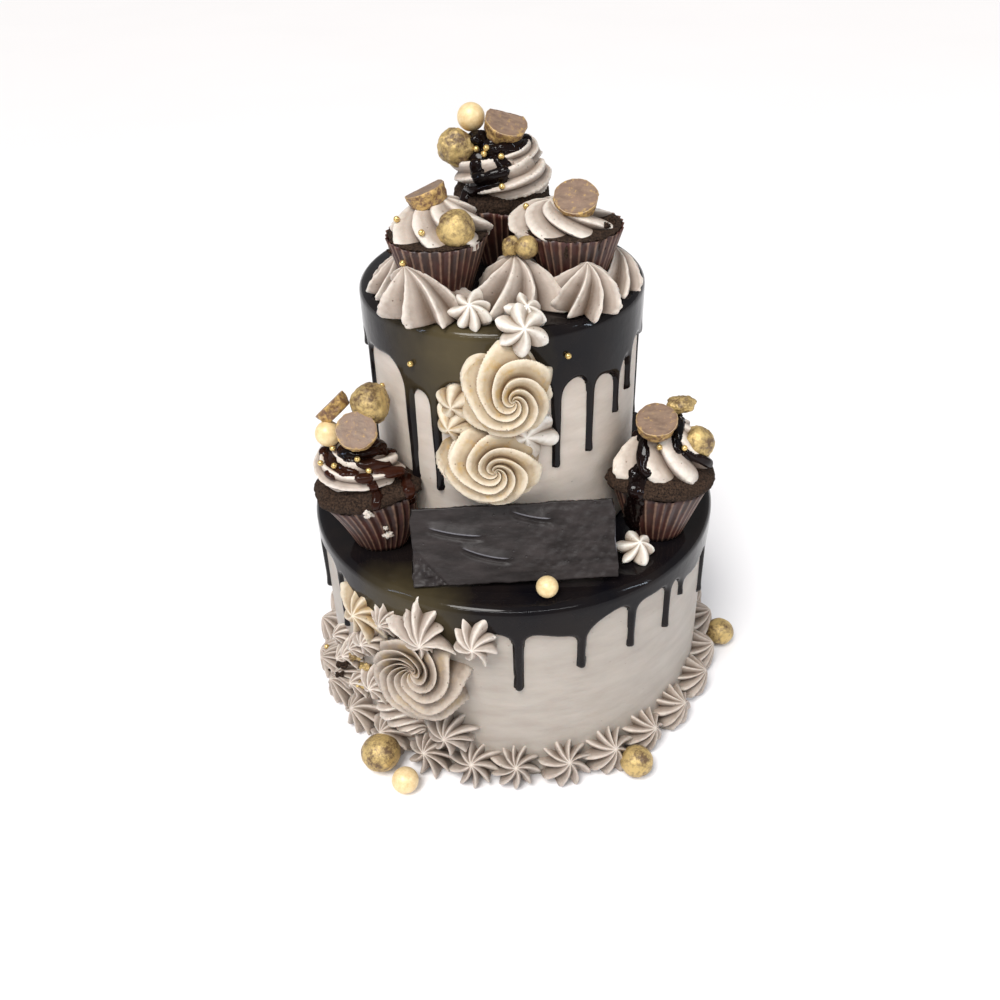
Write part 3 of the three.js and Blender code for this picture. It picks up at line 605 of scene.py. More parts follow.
def tier_shape(tier, seed):
    """A drum with a bevelled rim, a little out of true as scraped cream is"""
    height, reach = tier["top"] - tier["base"], tier["radius"]
    profile = [(reach * share, 0) for share in np.linspace(0.2, 1, 5)]
    profile += [(reach, z) for z in np.linspace(0, height - RIM_BEVEL, TIER_ROWS)[1:]]
    profile += [((reach - RIM_BEVEL) * share, height) for share in (1, 0.7, 0.3)]
    turn = full_turn(TIER_COLUMNS)
    rings = np.array([
        np.stack([r * np.sin(turn), -r * np.cos(turn), z + 0 * turn], -1) for r, z in profile
    ])
    wave = noise(rings * (1, 1, 0.35), 34 * MM, seed) * 0.28 * MM
    wave += noise(rings * (0.4, 0.4, 1), 6 * MM, seed + 1) * 0.1 * MM
    outward = np.stack([np.sin(turn), -np.cos(turn), 0 * turn], -1)
    on_side = (np.hypot(rings[..., 0], rings[..., 1]) > reach * 0.995)[..., None]
    rings += outward * on_side * (wave - CREAM_INSET)[..., None]
    rings += (tier["x"], tier["y"], tier["base"])
    centre = (tier["x"], tier["y"])
    return lofted(rings, (*centre, tier["base"]), (*centre, tier["top"]))


def add_tiers():
    add_piece("lower_cream", tier_shape(LOWER, 3), LOWER_CREAM, "cream", "lower_tier")
    add_piece("upper_cream", tier_shape(UPPER, 7), UPPER_CREAM, "cream", "upper_tier")


# Ganache: a glaze over each tier that runs down its wall in drips

# Drips down the front: the azimuth, the height of the lower end in mm and the width in degrees
LOWER_DRIPS = [
    (-75, 80, 2), (-58, 75, 1.8), (-37, 96, 15), (-16, 103, 12), (0.5, 75, 2.6), (17.5, 87, 2.5),
    (32.5, 90, 2.3), (46, 88, 2), (52.5, 104, 1.7), (70, 78, 1.9),
]
UPPER_DRIPS = [
    (-86, 240, 3), (-70, 219, 2.4), (-40.5, 181, 3.8), (-28.2, 179.5, 3.6), (21, 196, 3.6),
    (36.5, 200, 3.2), (52, 216, 3), (61.5, 225, 2.8), (76, 252, 3),
]


def back_drips(start, end, count, longest, shortest, width, seed):
    """Drips of uneven length spread round the back, given in the same way"""
    draw = seeded(seed)
    step = (end - start) / count
    drips = []
    for i in range(count):
        azimuth = start + step * (i + 0.3 + 0.4 * draw())
        low = longest + (shortest - longest) * draw()
        drips.append((azimuth, low, width * (0.8 + 0.4 * draw())))
    return drips


def lower_curtain(azimuth):
    """How low the lower glaze comes between its drips"""
    slow = 5 * np.sin(np.radians(azimuth * 7 + 200))
    return (120 + slow + 2 * np.sin(np.radians(azimuth * 17))) * MM


def upper_curtain(azimuth):
    """How low the upper glaze comes between its drips"""
    slow = 5 * np.sin(np.radians(azimuth * 5 + 60))
    return (252 + slow + 2.5 * np.sin(np.radians(azimuth * 13))) * MM


def inside_coat(tier, azimuth, z, drips, curtain, fillet):
    """How far inside the glaze's edge a point of the wall is, and how much a bead swells it"""
    inside = z - curtain(azimuth)
    bead = np.zeros_like(z)
    for place, low, width in drips:
        half = tier["radius"] * math.radians(width) / 2
        around = tier["radius"] * np.radians((azimuth - place + 180) % 360 - 180)
        drop = np.maximum(low * MM + half - z, 0)
        spread = half * (0.86 + 0.3 * ease(z, low * MM + 6 * MM, low * MM + 45 * MM))
        spread += 0.1 * half * np.exp(-((z - low * MM - half) / (1.6 * half)) ** 2)
        inside = blend_max(inside, spread - np.hypot(around, drop), fillet)
        near = ((z - low * MM - half) / (2 * half)) ** 2 + (around / half) ** 2
        bead = np.maximum(bead, np.exp(-near))
    return inside, bead


def coat_profile(tier, lowest):
    """The section a glaze follows, over the top and down: radius, height and the way it faces"""
    reach, top = tier["radius"] - RIM_BEVEL, tier["top"] - RIM_BEVEL
    flat = [(r, tier["top"], 0, 1) for r in np.linspace(tier["radius"] * 0.03, reach, 20)]
    bend = [
        (reach + RIM_BEVEL * math.sin(t), top + RIM_BEVEL * math.cos(t), math.sin(t), math.cos(t))
        for t in np.linspace(0, TAU / 4, 7)[1:]
    ]
    rows = int((top - lowest) / COAT_CELL)
    side = [(tier["radius"], z, 1, 0) for z in np.linspace(top, lowest, rows)[1:]]
    return np.array(flat + bend + side).T[..., None]


def coat_shape(tier, drips, curtain, fillet, seed):
    """The glaze as a skin over the top and down the wall, kept only where it has run"""
    lowest = min(low for _, low, _ in drips) * MM
    r, z, out, up = coat_profile(tier, lowest - 2 * MM)
    columns = int(TAU * tier["radius"] / COAT_CELL)
    azimuth, z = np.broadcast_arrays(np.linspace(-180, 180, columns, endpoint=False), z)
    across, along = np.sin(np.radians(azimuth)), -np.cos(np.radians(azimuth))
    inside, bead = inside_coat(tier, azimuth, z, drips, curtain, fillet)
    edge = np.clip(inside / COAT_LIP, 0, 1)
    thickness = (COAT_THICKNESS + 0.5 * MM * bead) * np.sqrt(1 - (1 - edge) ** 2)
    thickness -= np.clip(-inside, 0, 0.5 * MM) + 0.35 * MM
    base = np.stack([r * across, r * along, z], -1)
    thickness += noise(base, 26 * MM, seed) * 0.22 * MM
    normal = np.stack([out * across, out * along, up + 0 * z], -1)
    points = base + normal * thickness[..., None] + (tier["x"], tier["y"], 0)
    faces = lattice_faces(*inside.shape)
    kept = (inside.reshape(-1)[faces] > -0.9 * MM).any(axis=1)
    used, faces = np.unique(faces[kept][:, ::-1], return_inverse=True)
    middle = points[0].mean(axis=0)
    lid = fan_faces(0, columns, len(used), False)
    return {
        "points": np.vstack([points.reshape(-1, 3)[used], middle]),
        "faces": faces.reshape(-1, 4).tolist() + lid.tolist(),
        "ridge": None,
    }


def add_glazes():
    """The two glazes, with drips of their own at the back"""
    drips = LOWER_DRIPS + back_drips(80, 268, 9, 76, 104, 2.2, 11)
    lower = coat_shape(LOWER, drips, lower_curtain, 9 * MM, 5)
    add_piece("lower_glaze", lower, GANACHE, "ganache", "lower_ganache")
    drips = UPPER_DRIPS + back_drips(86, 264, 7, 182, 228, 3.2, 23)
    upper = coat_shape(UPPER, drips, upper_curtain, 12 * MM, 9)
    add_piece("upper_glaze", upper, GANACHE, "ganache", "upper_ganache")


# Piped cream


def blade(phase, skew=0.5, edge=1.0, power=0.8):
    """How far a petal's section stands out: 0 in its crease and 1 on its ridge. The skew moves the
    ridge to one side, and the edge makes it sharp, at 1, or round, at 0."""
    phase = phase % 1
    warped = np.where(phase < skew, phase / skew, (1 - phase) / (1 - skew)) / 2
    sharp = (2 * warped) ** power
    rounded = np.sin(math.pi * warped) ** power
    return edge * sharp + (1 - edge) * rounded


OUTLINES = {
    "star": [(0.86, -0.1), (1, 0.12), (0.84, 0.4), (0.5, 0.7), (0.2, 0.9)],
    "border": [(0.9, -0.2), (1, 0.1), (0.86, 0.36), (0.5, 0.7), (0.18, 0.92)],
    "dollop": [
        (0.88, 0), (1.0, 0.04), (1.03, 0.14), (0.96, 0.32), (0.8, 0.53), (0.56, 0.73), (0.3, 0.88),
        (0.08, 0.97),
    ],
    "ruffle": [
        (0.86, -0.12), (0.99, 0.02), (1.0, 0.2), (0.88, 0.45), (0.66, 0.7), (0.4, 0.88), (0.14, 0.98),
    ],
}


def uneven_petals(phase, petals, uneven, seed):
    """The phases bent so that the petals are of unlike widths, and how long each one's petal is"""
    draw = seeded(seed * 977 + 13)
    number = np.floor(phase).astype(int)
    length = np.array([1 + uneven * (2 * draw() - 1) for _ in range(petals)])
    shift = np.array([0.16 * (2 * draw() - 1) for _ in range(petals + 1)])
    shift[-1] = shift[0]
    share = phase - number
    return phase + (1 - share) * shift[number] + share * shift[number + 1], length[number]


def piped_star(radius, height, petals, form="star", crease=0.36, twist=14, skew=0.5, edge=1.0,
               power=0.8, lean=(0, 0), sink=0.0, uneven=0.07, ragged=0.3, seed=1, fine=11, levels=22):
    """Cream piped through a star tip: petals with creases between them, drawn up to a point"""
    phase = np.arange(petals * fine) / fine
    bent, length = uneven_petals(phase, petals, uneven, seed)
    stand = blade(phase, skew, edge, power)
    rings, ridges = [], []
    for reach, rise in smooth_outline(OUTLINES[form], levels):
        depth = crease * min(1, 0.35 + 0.9 * reach)
        turn = TAU * bent / petals + math.radians(twist) * rise * (1 + 0.3 * rise)
        extent = radius * reach * (1 - depth * (1 - stand))
        extent = extent * (1 + (length - 1) * stand * reach)
        ring = np.stack([extent * np.cos(turn), extent * np.sin(turn), height * rise + 0 * turn], -1)
        torn = noise(ring, 2.4 * MM, seed) + 0.6 * noise(ring, 5 * MM, seed + 50)
        extent = extent + torn * ragged * MM * stand**2 * min(1, 0.2 + reach)
        lift = height * rise * (1 - 0.12 * (1 - stand) * (1 - rise))
        rings.append(np.stack([
            extent * np.cos(turn) + lean[0] * max(rise, 0),
            extent * np.sin(turn) + lean[1] * max(rise, 0),
            lift - (sink if rise <= 0 else 0),
        ], -1))
        # The ridge value is what the cream paints as shade in creases and highlight on ridges; near the
        # tip the creases get less painted shade
        ridges.append(stand * (1 - 0.4 * rise**2) + 0.35 * rise**3)
    foot = (0, 0, rings[0][0, 2])
    return lofted(np.array(rings), foot, (*lean, height), np.array(ridges))


def rope(path, radii, lobes, twist, crease=0.4, skew=0.5, edge=1.0, power=0.8, flatten=1.0, fine=12):
    """Cream drawn along a path through a star tip, its ridges winding slowly round it"""
    tangent = np.gradient(path, axis=0)
    tangent /= np.linalg.norm(tangent, axis=1)[:, None]
    side = np.cross(tangent, (0, 0, 1))
    side /= np.linalg.norm(side, axis=1)[:, None]
    lift = np.cross(side, tangent)
    along = np.linspace(0, 1, len(path))[:, None]
    angle = full_turn(lobes * fine)[None, :]
    stand = blade(lobes * angle / TAU + twist * along, skew, edge, power)
    reach = np.asarray(radii)[:, None] * (1 - crease * (1 - stand))
    across = (reach * np.cos(angle))[..., None] * side[:, None]
    away = across + (flatten * reach * np.sin(angle))[..., None] * lift[:, None]
    torn = noise(path[:, None] + away, 2.6 * MM, 3) + 0.6 * noise(path[:, None] + away, 6 * MM, 4)
    torn = ROPE_RAGGED * torn * stand**2
    rings = path[:, None] + away * (1 + torn / np.linalg.norm(away, axis=-1))[..., None]
    return lofted(rings[:, ::-1], path[0], path[-1], stand[:, ::-1])


def rose(radii, height, arms, turns, direction, centre, start, pace=0.5, crease=0.2, skew=0.8,
         power=1.0, uneven=0.12, sink=0.0, seed=1, levels=80):
    """A piped rose as a relief: blades of cream that wind out of its centre and overlap outwards"""
    turn = full_turn(arms * ROSE_FINE)[None, :]
    share = np.linspace(0.03, 1, levels)[:, None]
    flat = np.stack([np.cos(turn) * share, np.sin(turn) * share, 0 * turn * share], -1)
    phase = arms * (turns * share**pace - direction * (turn + math.radians(start)) / TAU)
    phase = phase + uneven * 2 * noise(flat, 0.5, seed)
    stand = blade(phase, skew, 0.85, power)
    slope = TAU / 4 * ease(share, 0.35, 1.0)
    reach = share * (1 - 0.04 * np.sin(slope) ** 4)
    dome = np.where(share < 0.4, 1, np.sqrt(np.clip(1 - ((share - 0.4) / 0.6) ** 2, 0, 1)))
    dome = dome * (1 - 0.12 * np.exp(-((share / 0.16) ** 2)))
    depth = crease * (0.25 + 0.75 * ease(share, 0, 0.35)) * (1 + uneven * noise(flat, 0.3, seed + 1))
    push = depth * (stand - 0.6) * radii[0]
    lean = push * (np.sin(slope) + 0.45)
    x = (reach * radii[0] + lean) * np.cos(turn) + centre[0] * (1 - share**1.3)
    y = (reach * radii[1] + lean) * np.sin(turn) + centre[1] * (1 - share**1.3)
    z = height * dome + push * np.cos(slope) - sink * ease(share, 0.93, 1)
    rings = np.stack([x, y, z], -1)[::-1]
    tip = (*centre, rings[-1, :, 2].mean())
    return lofted(rings, (0, 0, -sink), tip, stand[::-1] + 0 * z)


def star_on_wall(tier, reach, azimuth, z, radius, height, elevation=0, roll=0, face=None,
                 lean=(0, 0), **shape):
    """A star on a wall, in mm and degrees; it faces straight out unless another azimuth is given"""
    star = piped_star(radius * MM, height * MM, lean=in_mm(*lean), sink=6 * MM, **shape)
    place = on_wall(tier, reach * MM, azimuth, z * MM)
    way = azimuth if face is None else face
    return moved(star, lambda points: aimed(points, place, way, elevation, roll))


def free_star(place, radius, height, azimuth, elevation, **shape):
    """A star that stands clear of the walls, its radius and height in mm"""
    star = piped_star(radius * MM, height * MM, sink=2 * MM, **shape)
    return moved(star, lambda points: aimed(points, place, azimuth, elevation))


def rose_on_wall(tier, reach, azimuth, z, elevation, radii, height, centre, start, **shape):
    """A rose on a wall, in mm and degrees"""
    form = rose(
        in_mm(*radii), height * MM, centre=in_mm(*centre), start=start, sink=5 * MM, **shape,
    )
    place = on_wall(tier, reach * MM, azimuth, z * MM)
    return moved(form, lambda points: aimed(points, place, azimuth, elevation))


BORDER_COUNT = 28
# The border's stars: the reach, rise and length in mm, and the elevation
BORDER_PLACE = (126.2, 13.4, 15.5, 38)
BORDER_RADIUS = 17.2
BORDER_STAR = {
    "petals": 10, "form": "border", "crease": 0.56, "twist": 18, "skew": 0.36, "power": 1.0,
    "uneven": 0.11, "ragged": 0.5, "fine": 9, "levels": 18,
}
# The second row at the left: the azimuth, rise and radius of each star
BORDER_SECOND_ROW = [(-18.3, 38, 16.6), (-55, 42, 12), (-66, 34, 12)]


def border_shape():
    """Stars piped side by side into the foot of the lower tier, with a second row at the left"""
    draw = seeded(61)
    stars = []
    for i in range(BORDER_COUNT + len(BORDER_SECOND_ROW)):
        reach, rise, length, elevation = BORDER_PLACE
        if i < BORDER_COUNT:
            radius = BORDER_RADIUS * (0.97 + 0.08 * draw())
            azimuth = 360 / BORDER_COUNT * i + 1.6 * (draw() - 0.5)
        else:
            azimuth, rise, radius = BORDER_SECOND_ROW[i - BORDER_COUNT]
            reach, elevation = 127, 24
        star = star_on_wall(
            LOWER, reach, azimuth, rise, radius, length, elevation, roll=45 * draw(), seed=i + 2,
            **BORDER_STAR,
        )
        star["points"][:, 2] = np.maximum(star["points"][:, 2], 0)
        stars.append(star)
    return joined(stars)


# The layers of each upper rose: reach, azimuth and height on the wall, elevation, radii, thickness,
# centre and the angle that its blades start at
UPPER_ROSES = {
    ("upper_rose", "rosette_upper"): [
        (81, 1.4, 251.8, 8, (23.5, 26), 14, (3, -4), 60),
        (79, 0.2, 249.5, 8, (24.5, 26), 9, (3, -3), 20),
    ],
    ("middle_rose", "rosette_middle"): [
        (80, -5, 206, 6, (27, 24), 14, (3, -1), 100),
        (78, -6.6, 204.5, 6, (28.5, 24.5), 9, (4, -3), 50),
    ],
}
LOWER_ROSE = (127, -26, 81, 10, (29.5, 29), 16, (0.5, 9), -60)


def add_roses():
    """Two ivory roses on the upper wall and a bigger one on the lower wall"""
    seeds = itertools.count(5)
    for (name, node), layers in UPPER_ROSES.items():
        shape = joined([
            rose_on_wall(UPPER, *layer, arms=5, turns=1.15, direction=-1, seed=next(seeds))
            for layer in layers
        ])
        add_piece(name, shape, IVORY, "ivory_cream", node)
    lower = rose_on_wall(
        LOWER, *LOWER_ROSE, arms=8, turns=0.72, direction=1, pace=0.8, crease=0.24, skew=0.7,
        power=1.2, uneven=0.22, seed=next(seeds), levels=110,
    )
    add_piece("lower_rose", lower, GOLDEN_CREAM, "cream", "rosette_lower")


SMALL_STAR = {"petals": 6, "crease": 0.42, "twist": 16, "edge": 0.6, "uneven": 0.16, "fine": 14}
LOBED_STAR = {"petals": 5, "crease": 0.42, "twist": 12, "edge": 0.15, "uneven": 0.22, "fine": 16}
CLUSTER_STAR = {
    "petals": 8, "crease": 0.46, "twist": 24, "skew": 0.34, "uneven": 0.22, "fine": 16, "ragged": 1.0,
}
TORN_STAR = {**CLUSTER_STAR, "petals": 9, "uneven": 0.34, "ragged": 2.0, "power": 1.2}


def add_small_stars():
    """Stars on the top rim, beside the upper roses and on the ledge"""
    rim = joined([
        star_on_wall(UPPER, 81, 7, 284, 14.5, 13, 26, seed=3, **SMALL_STAR),
        star_on_wall(UPPER, 73, 9.5, 288, 11, 10, 50, seed=4, **SMALL_STAR),
    ])
    left = joined([
        star_on_wall(UPPER, 80.5, -18, 242, 12.5, 9, roll=60, seed=5, **LOBED_STAR),
        star_on_wall(UPPER, 80.5, -18.4, 229, 12.5, 9, lean=(-2, 0), roll=20, seed=6, **LOBED_STAR),
    ])
    right = star_on_wall(UPPER, 80.5, 11, 223, 16, 9, lean=(-5, 3), roll=10, seed=7, **LOBED_STAR)
    place = (-19 * MM, -68 * MM, SUMMIT + 5 * MM)
    top = free_star(place, 12, 11, -8, 48, seed=8, **{**SMALL_STAR, "petals": 7})
    place = (70.5 * MM, -79 * MM, LEDGE + 4.5 * MM)
    ledge = free_star(place, 12, 9, 20, 60, seed=9, **SMALL_STAR)
    ledge["points"][:, 2] = np.maximum(ledge["points"][:, 2], LEDGE - 1 * MM)
    add_piece("rim_stars", rim, PALE_CREAM, "cream", "rim_star")
    add_piece("flank_stars_left", left, IVORY, "ivory_cream", "flank_star_left")
    add_piece("flank_star_at_right", right, PALE_CREAM, "ivory_cream", "flank_star_right")
    add_piece("top_small_star", top, PALE_CREAM, "cream", "top_star")
    add_piece("ledge_small_star", ledge, PALE_CREAM, "cream", "ledge_star")


# The cluster's big stars: the reach, azimuth and height on the wall, the radius and length in mm, the
# elevation, the azimuth each faces and the lean of its tip in mm
CLUSTER = {
    "cluster_star_left": (123, -46, 105, 19.5, 14, 20, -35, (0, 0)),
    "cluster_star_top": (127, -25, 118, 19, 14, 12, -20, (5, -5)),
    "cluster_star_right": (127, -10.3, 115.5, 15, 12, 12, -10, (0, 0)),
}
# A torn flap beside the top one, given as far as its elevation
CLUSTER_FLAP = (124, -35.5, 112, 12, 12, 10)
# Smaller stars that fill the wall beside the rose: azimuth, height, radius, length and elevation
CLUSTER_FILL = [
    (-44.2, 86, 12, 10, 14), (-50, 74, 11, 10, 14), (-42.5, 52, 14, 12, 18), (-55, 58, 11, 10, 18),
    (-52, 40, 12, 11, 20), (-62, 62, 9, 8, 18), (-61, 44, 10.5, 9, 22),
]
# The shell below the rose: azimuth, height in mm and half thickness in mm along it
SHELL = [(-43, 41, 3), (-41, 39, 9), (-37, 35.5, 12), (-33, 32.5, 10.5), (-29.5, 30, 7), (-27, 29, 2)]


def shell_shape():
    """A short rope of cream dragged along the wall, its ridges running across it aslant"""
    stops = smooth_outline(SHELL, 60)
    path = np.array([on_wall(LOWER, 125 * MM, azimuth, z * MM) for azimuth, z, _ in stops])
    return rope(path, stops[:, 2] * MM, 7, -6.5, crease=0.4, skew=0.3, edge=0.8, power=1.0, fine=16)


def add_cluster():
    """Adds the stars round the lower rose; the one at the top is torn"""
    for i, (node, star) in enumerate(CLUSTER.items()):
        *place, face, lean = star
        torn = node == "cluster_star_top"
        form = TORN_STAR if torn else CLUSTER_STAR
        shape = star_on_wall(LOWER, *place, face=face, lean=lean, seed=20 + i, **form)
        if torn:
            shape = joined([shape, star_on_wall(LOWER, *CLUSTER_FLAP, seed=27, **TORN_STAR)])
        material = IVORY if node == "cluster_star_left" else CREAM
        add_piece(f"{node}_piped", shape, material, "cream", node)
    low = [shell_shape()]
    for i, (azimuth, z, *size) in enumerate(CLUSTER_FILL):
        turn = {"roll": 50 * i, "face": azimuth + 12}
        low.append(star_on_wall(LOWER, 126, azimuth, z, *size, seed=31 + i, **turn, **CLUSTER_STAR))
    add_piece("cluster_low_piped", joined(low), CREAM, "cream", "cluster_stars_low")


# Each dollop's place, radius and height, and the lean of its tip, in mm
DOLLOPS = [
    (3, -45, 27, 26, (0, 2)),
    (-36, -55, 25, 26, (-17, 0)),
    (-61, -26, 17, 20, (1, 2)),
    (-52, 32, 22, 25, (1, 0)),
    (-4, 57, 23, 26, (0, -2)),
    (44, 32, 22, 25, (-1, -2)),
    (57, -27, 17, 22, (0, 2)),
    (38, -51, 21.5, 25, (2, -2)),
]


DOLLOP = {
    "petals": 8, "form": "dollop", "crease": 0.42, "twist": 24, "skew": 0.24, "power": 1.6,
    "uneven": 0.2, "ragged": 1.3, "fine": 17, "levels": 38,
}


def add_dollops():
    """Big dollops round the top, with thin ribs along the edges of broad petals"""
    for i, (x, y, radius, height, lean) in enumerate(DOLLOPS):
        shape = piped_star(radius * MM, height * MM, lean=in_mm(*lean), seed=40 + i, **DOLLOP)
        place = np.array((x * MM, y * MM, SUMMIT))
        piece = moved(shape, lambda points: points + place)
        add_piece(f"top_dollop_{i + 1}_piped", piece, CREAM, "cream", f"top_dollop_{i + 1}")


# Cupcakes: a pleated case, a dark crown and a swirl of cream

CASE = {"base": 15.5 * MM, "rim": 27 * MM, "height": 35 * MM, "pleats": 34, "depth": 1.2 * MM}
PAPER_THICKNESS = 0.35 * MM

# A ruffle is a swirl pressed out in one go, and a rope is wound up in turns. Their sizes are in mm,
# as are a cupcake's place, its crown's radius and its dome.
RUFFLE = {"radius": 27, "petals": 7, "edge": 0.3, "power": 0.9, "shift": 0, "drop": 3}
CUPCAKES = {
    "ledge_left": {
        "place": (-80, -56), "floor": LEDGE, "turn": 10, "lean": (-0.16, 0), "crown": 29.5, "dome": 14,
        "spread": 0.5,
        "rope": {"radius": 28, "height": 27, "drop": 2, "turns": 2.2, "ridges": 8, "start": 40},
    },
    "ledge_right": {
        "place": (86, -52), "floor": LEDGE, "turn": 34, "lean": (0.05, 0.02), "crown": 29.5, "dome": 13,
        "spread": -0.36,
        "ruffle": {
            **RUFFLE, "height": 28, "twist": -66, "edge": 0.25, "power": 0.8, "lean": (3, 1), "drop": 3.5,
        },
    },
    "top_left": {
        "place": (-37, -35), "floor": SUMMIT, "turn": 0, "lean": (0, 0), "crown": 26, "dome": 1.5,
        "ruffle": {
            **RUFFLE, "radius": 26, "height": 20, "twist": -62, "edge": 0.4, "lean": (1, 3), "shift": 2,
        },
    },
    "top_right": {
        "place": (34, -27), "floor": SUMMIT, "turn": 20, "lean": (0, 0), "crown": 26, "dome": 1.5,
        "ruffle": {**RUFFLE, "height": 14, "twist": -50, "lean": (-8, 7), "shift": -2},
    },
    "top_middle": {
        "place": (-3, 16), "floor": SUMMIT, "turn": 5, "lean": (0, 0), "crown": 26.5, "dome": 13,
        "rope": {"radius": 31.5, "height": 31, "drop": 5, "turns": 2.2, "ridges": -15, "start": 30},
    },
}


def pressed(points):
    """Squeezes points flat against the upper tier's wall where they would reach into it"""
    wall = UPPER["radius"] + 0.3 * MM
    soft_from, soft_to = UPPER["radius"] - 9 * MM, UPPER["radius"] + 22 * MM
    away = points[..., :2] - (UPPER["x"], UPPER["y"])
    distance = np.hypot(away[..., 0], away[..., 1])
    pushed = wall + (distance - soft_from) * (soft_to - wall) / (soft_to - soft_from)
    scale = np.where(distance < soft_to, pushed / distance, 1)
    points[..., :2] = (UPPER["x"], UPPER["y"]) + away * scale[..., None]
    return points


def settled(points, cupcake):
    """Puts a cupcake's shape in its place, tipped over and spread to one side"""
    points = turned_z(points, math.radians(cupcake["turn"]))
    x, y, z = np.moveaxis(points, -1, 0)
    share = np.clip(z / CASE["height"], 0, 1)
    lean_x, lean_y = cupcake["lean"]
    tipped = np.stack([
        x + lean_x * z * share,
        y + lean_y * z * share,
        z - share * (lean_x * x + lean_y * y),
    ], -1)
    spread = cupcake.get("spread", 0)
    tipped[..., 0] += spread * np.maximum(np.sign(spread) * tipped[..., 0], 0) ** 2 / CASE["rim"]
    tipped += (*in_mm(*cupcake["place"]), cupcake["floor"])
    return tipped if cupcake["floor"] == SUMMIT else pressed(tipped)


def revolved(profile, columns):
    """A profile of (radius, z) turned about the Z axis"""
    turn = full_turn(columns)
    return np.array([np.stack([r * np.cos(turn), r * np.sin(turn), z + 0 * turn], -1) for r, z in profile])


def case_shape(cupcake, seed):
    """A thin paper cup with uneven pressed pleats and a wavy rim"""
    pleats = CASE["pleats"]
    turn = full_turn(pleats * 8)
    around = np.stack([np.cos(turn), np.sin(turn), 0 * turn], -1) * 12 * MM
    wander = 0.45 * noise(around, 4 * MM, seed + 7)
    fold = np.abs(((turn * pleats / TAU + wander) % 1) * 2 - 1) ** 1.2
    wave, flutter = noise(around, 5 * MM, seed), noise(around, 1.6 * MM, seed + 3)
    rings = []
    outer = [(share, 0.0) for share in np.linspace(0, 1, 14)]
    inner = [(share, PAPER_THICKNESS) for share in np.linspace(1, 0.6, 4)]
    for share, inset in outer + inner:
        radius = CASE["base"] + (CASE["rim"] - CASE["base"]) * share**0.95
        depth = CASE["depth"] * (0.5 + 0.6 * share) * (1 + 0.4 * wave)
        reach = radius - inset - depth * (1 - fold) + (0.8 * wave + 0.5 * flutter) * MM * share**3
        height = CASE["height"] * share + (1.2 * wave + 0.7 * flutter) * MM * share**4
        rings.append(np.stack([reach * np.cos(turn), reach * np.sin(turn), height], -1))
    ridges = np.array([fold] * len(rings))
    shape = lofted(np.array(rings), (0, 0, 0.2 * MM), (0, 0, CASE["height"] * 0.5), ridges)
    return moved(shape, lambda points: settled(points, cupcake))


def crown_shape(cupcake, seed):
    """The cake that fills the case and domes over its rim, with a rough open crumb"""
    crown, dome, height = cupcake["crown"] * MM, cupcake["dome"] * MM, CASE["height"]
    edge = CASE["rim"] - 1.6 * MM
    outline = smooth_outline([
        (edge * 0.86, height * 0.7),
        (edge, height * 0.98),
        (crown, height + 0.22 * dome),
        (crown - 0.8 * MM, height + 0.55 * dome),
        (crown * 0.68, height + 0.92 * dome),
        (crown * 0.3, height + 1.0 * dome),
    ], 40)
    rings = revolved(outline, 150)
    away = rings - (0, 0, height)
    away /= np.linalg.norm(away, axis=-1)[..., None]
    rough = layered(rings, seed, (8, 0.9), (2.8, 0.6), (1.4, 0.4))
    rings = rings + away * (rough - 0.3 * MM)[..., None]
    shape = lofted(rings, (0, 0, height * 0.7), (0, 0, height + dome))
    return moved(shape, lambda points: settled(points, cupcake))


def wound_swirl(cupcake):
    """A rope of cream wound up over the crown in shrinking turns, to a point"""
    swirl = cupcake["rope"]
    strand = swirl["radius"] * 0.42 * MM
    share = np.linspace(0, 1, 165)
    turn = math.radians(swirl["start"]) - TAU * swirl["turns"] * share
    reach = (swirl["radius"] * MM - strand) * (1 - share**1.7)
    floor = CASE["height"] + cupcake["dome"] * MM - swirl["drop"] * MM * (1 - share) ** 2
    lift = strand * 0.4 + (swirl["height"] * MM - strand) * share**1.1
    path = np.stack([reach * np.cos(turn), reach * np.sin(turn), floor + lift], -1)
    grown = strand * (0.5 + 0.5 * ease(share, 0, 0.1)) * (1 - share**1.7 * 0.86)
    return rope(
        path, grown, 7, swirl["ridges"], crease=0.4, skew=0.35, edge=0.85, power=0.9, flatten=0.9,
    )


def ruffled_swirl(cupcake, seed):
    """A low swirl pressed out in one go: broad petals that sweep round as they rise"""
    swirl = cupcake["ruffle"]
    star = piped_star(
        swirl["radius"] * MM, swirl["height"] * MM, swirl["petals"], "ruffle", crease=0.36,
        twist=swirl["twist"], skew=0.3, edge=swirl["edge"], power=swirl["power"], sink=2 * MM,
        lean=in_mm(*swirl["lean"]), uneven=0.16, ragged=0.5, seed=seed, fine=20, levels=48,
    )
    floor = CASE["height"] + (cupcake["dome"] - swirl["drop"]) * MM
    return moved(star, lambda points: points + (swirl["shift"] * MM, 0, floor))


def swirl_shape(cupcake, seed):
    swirl = ruffled_swirl(cupcake, seed) if "ruffle" in cupcake else wound_swirl(cupcake)
    return moved(swirl, lambda points: settled(points, cupcake))


def add_cupcakes():
    """Adds the cupcakes, and returns the joined shape of each for the sauce to run over"""
    coated = {}
    for i, (name, cupcake) in enumerate(CUPCAKES.items()):
        case, crown = case_shape(cupcake, 50 + i), crown_shape(cupcake, 60 + 3 * i)
        swirl = swirl_shape(cupcake, 85 + i)
        add_piece(f"{name}_paper", case, PAPER, "paper", f"{name}_case")
        add_piece(f"{name}_crown", crown, CRUMB, "sponge", f"{name}_cake")
        add_piece(f"{name}_cream", swirl, CREAM, "cream", f"{name}_swirl")
        coated[name] = joined([case, crown, swirl])
    return coated


# Sweets: hand-rolled truffles, sugar pearls and chocolate cups, all brushed with gold

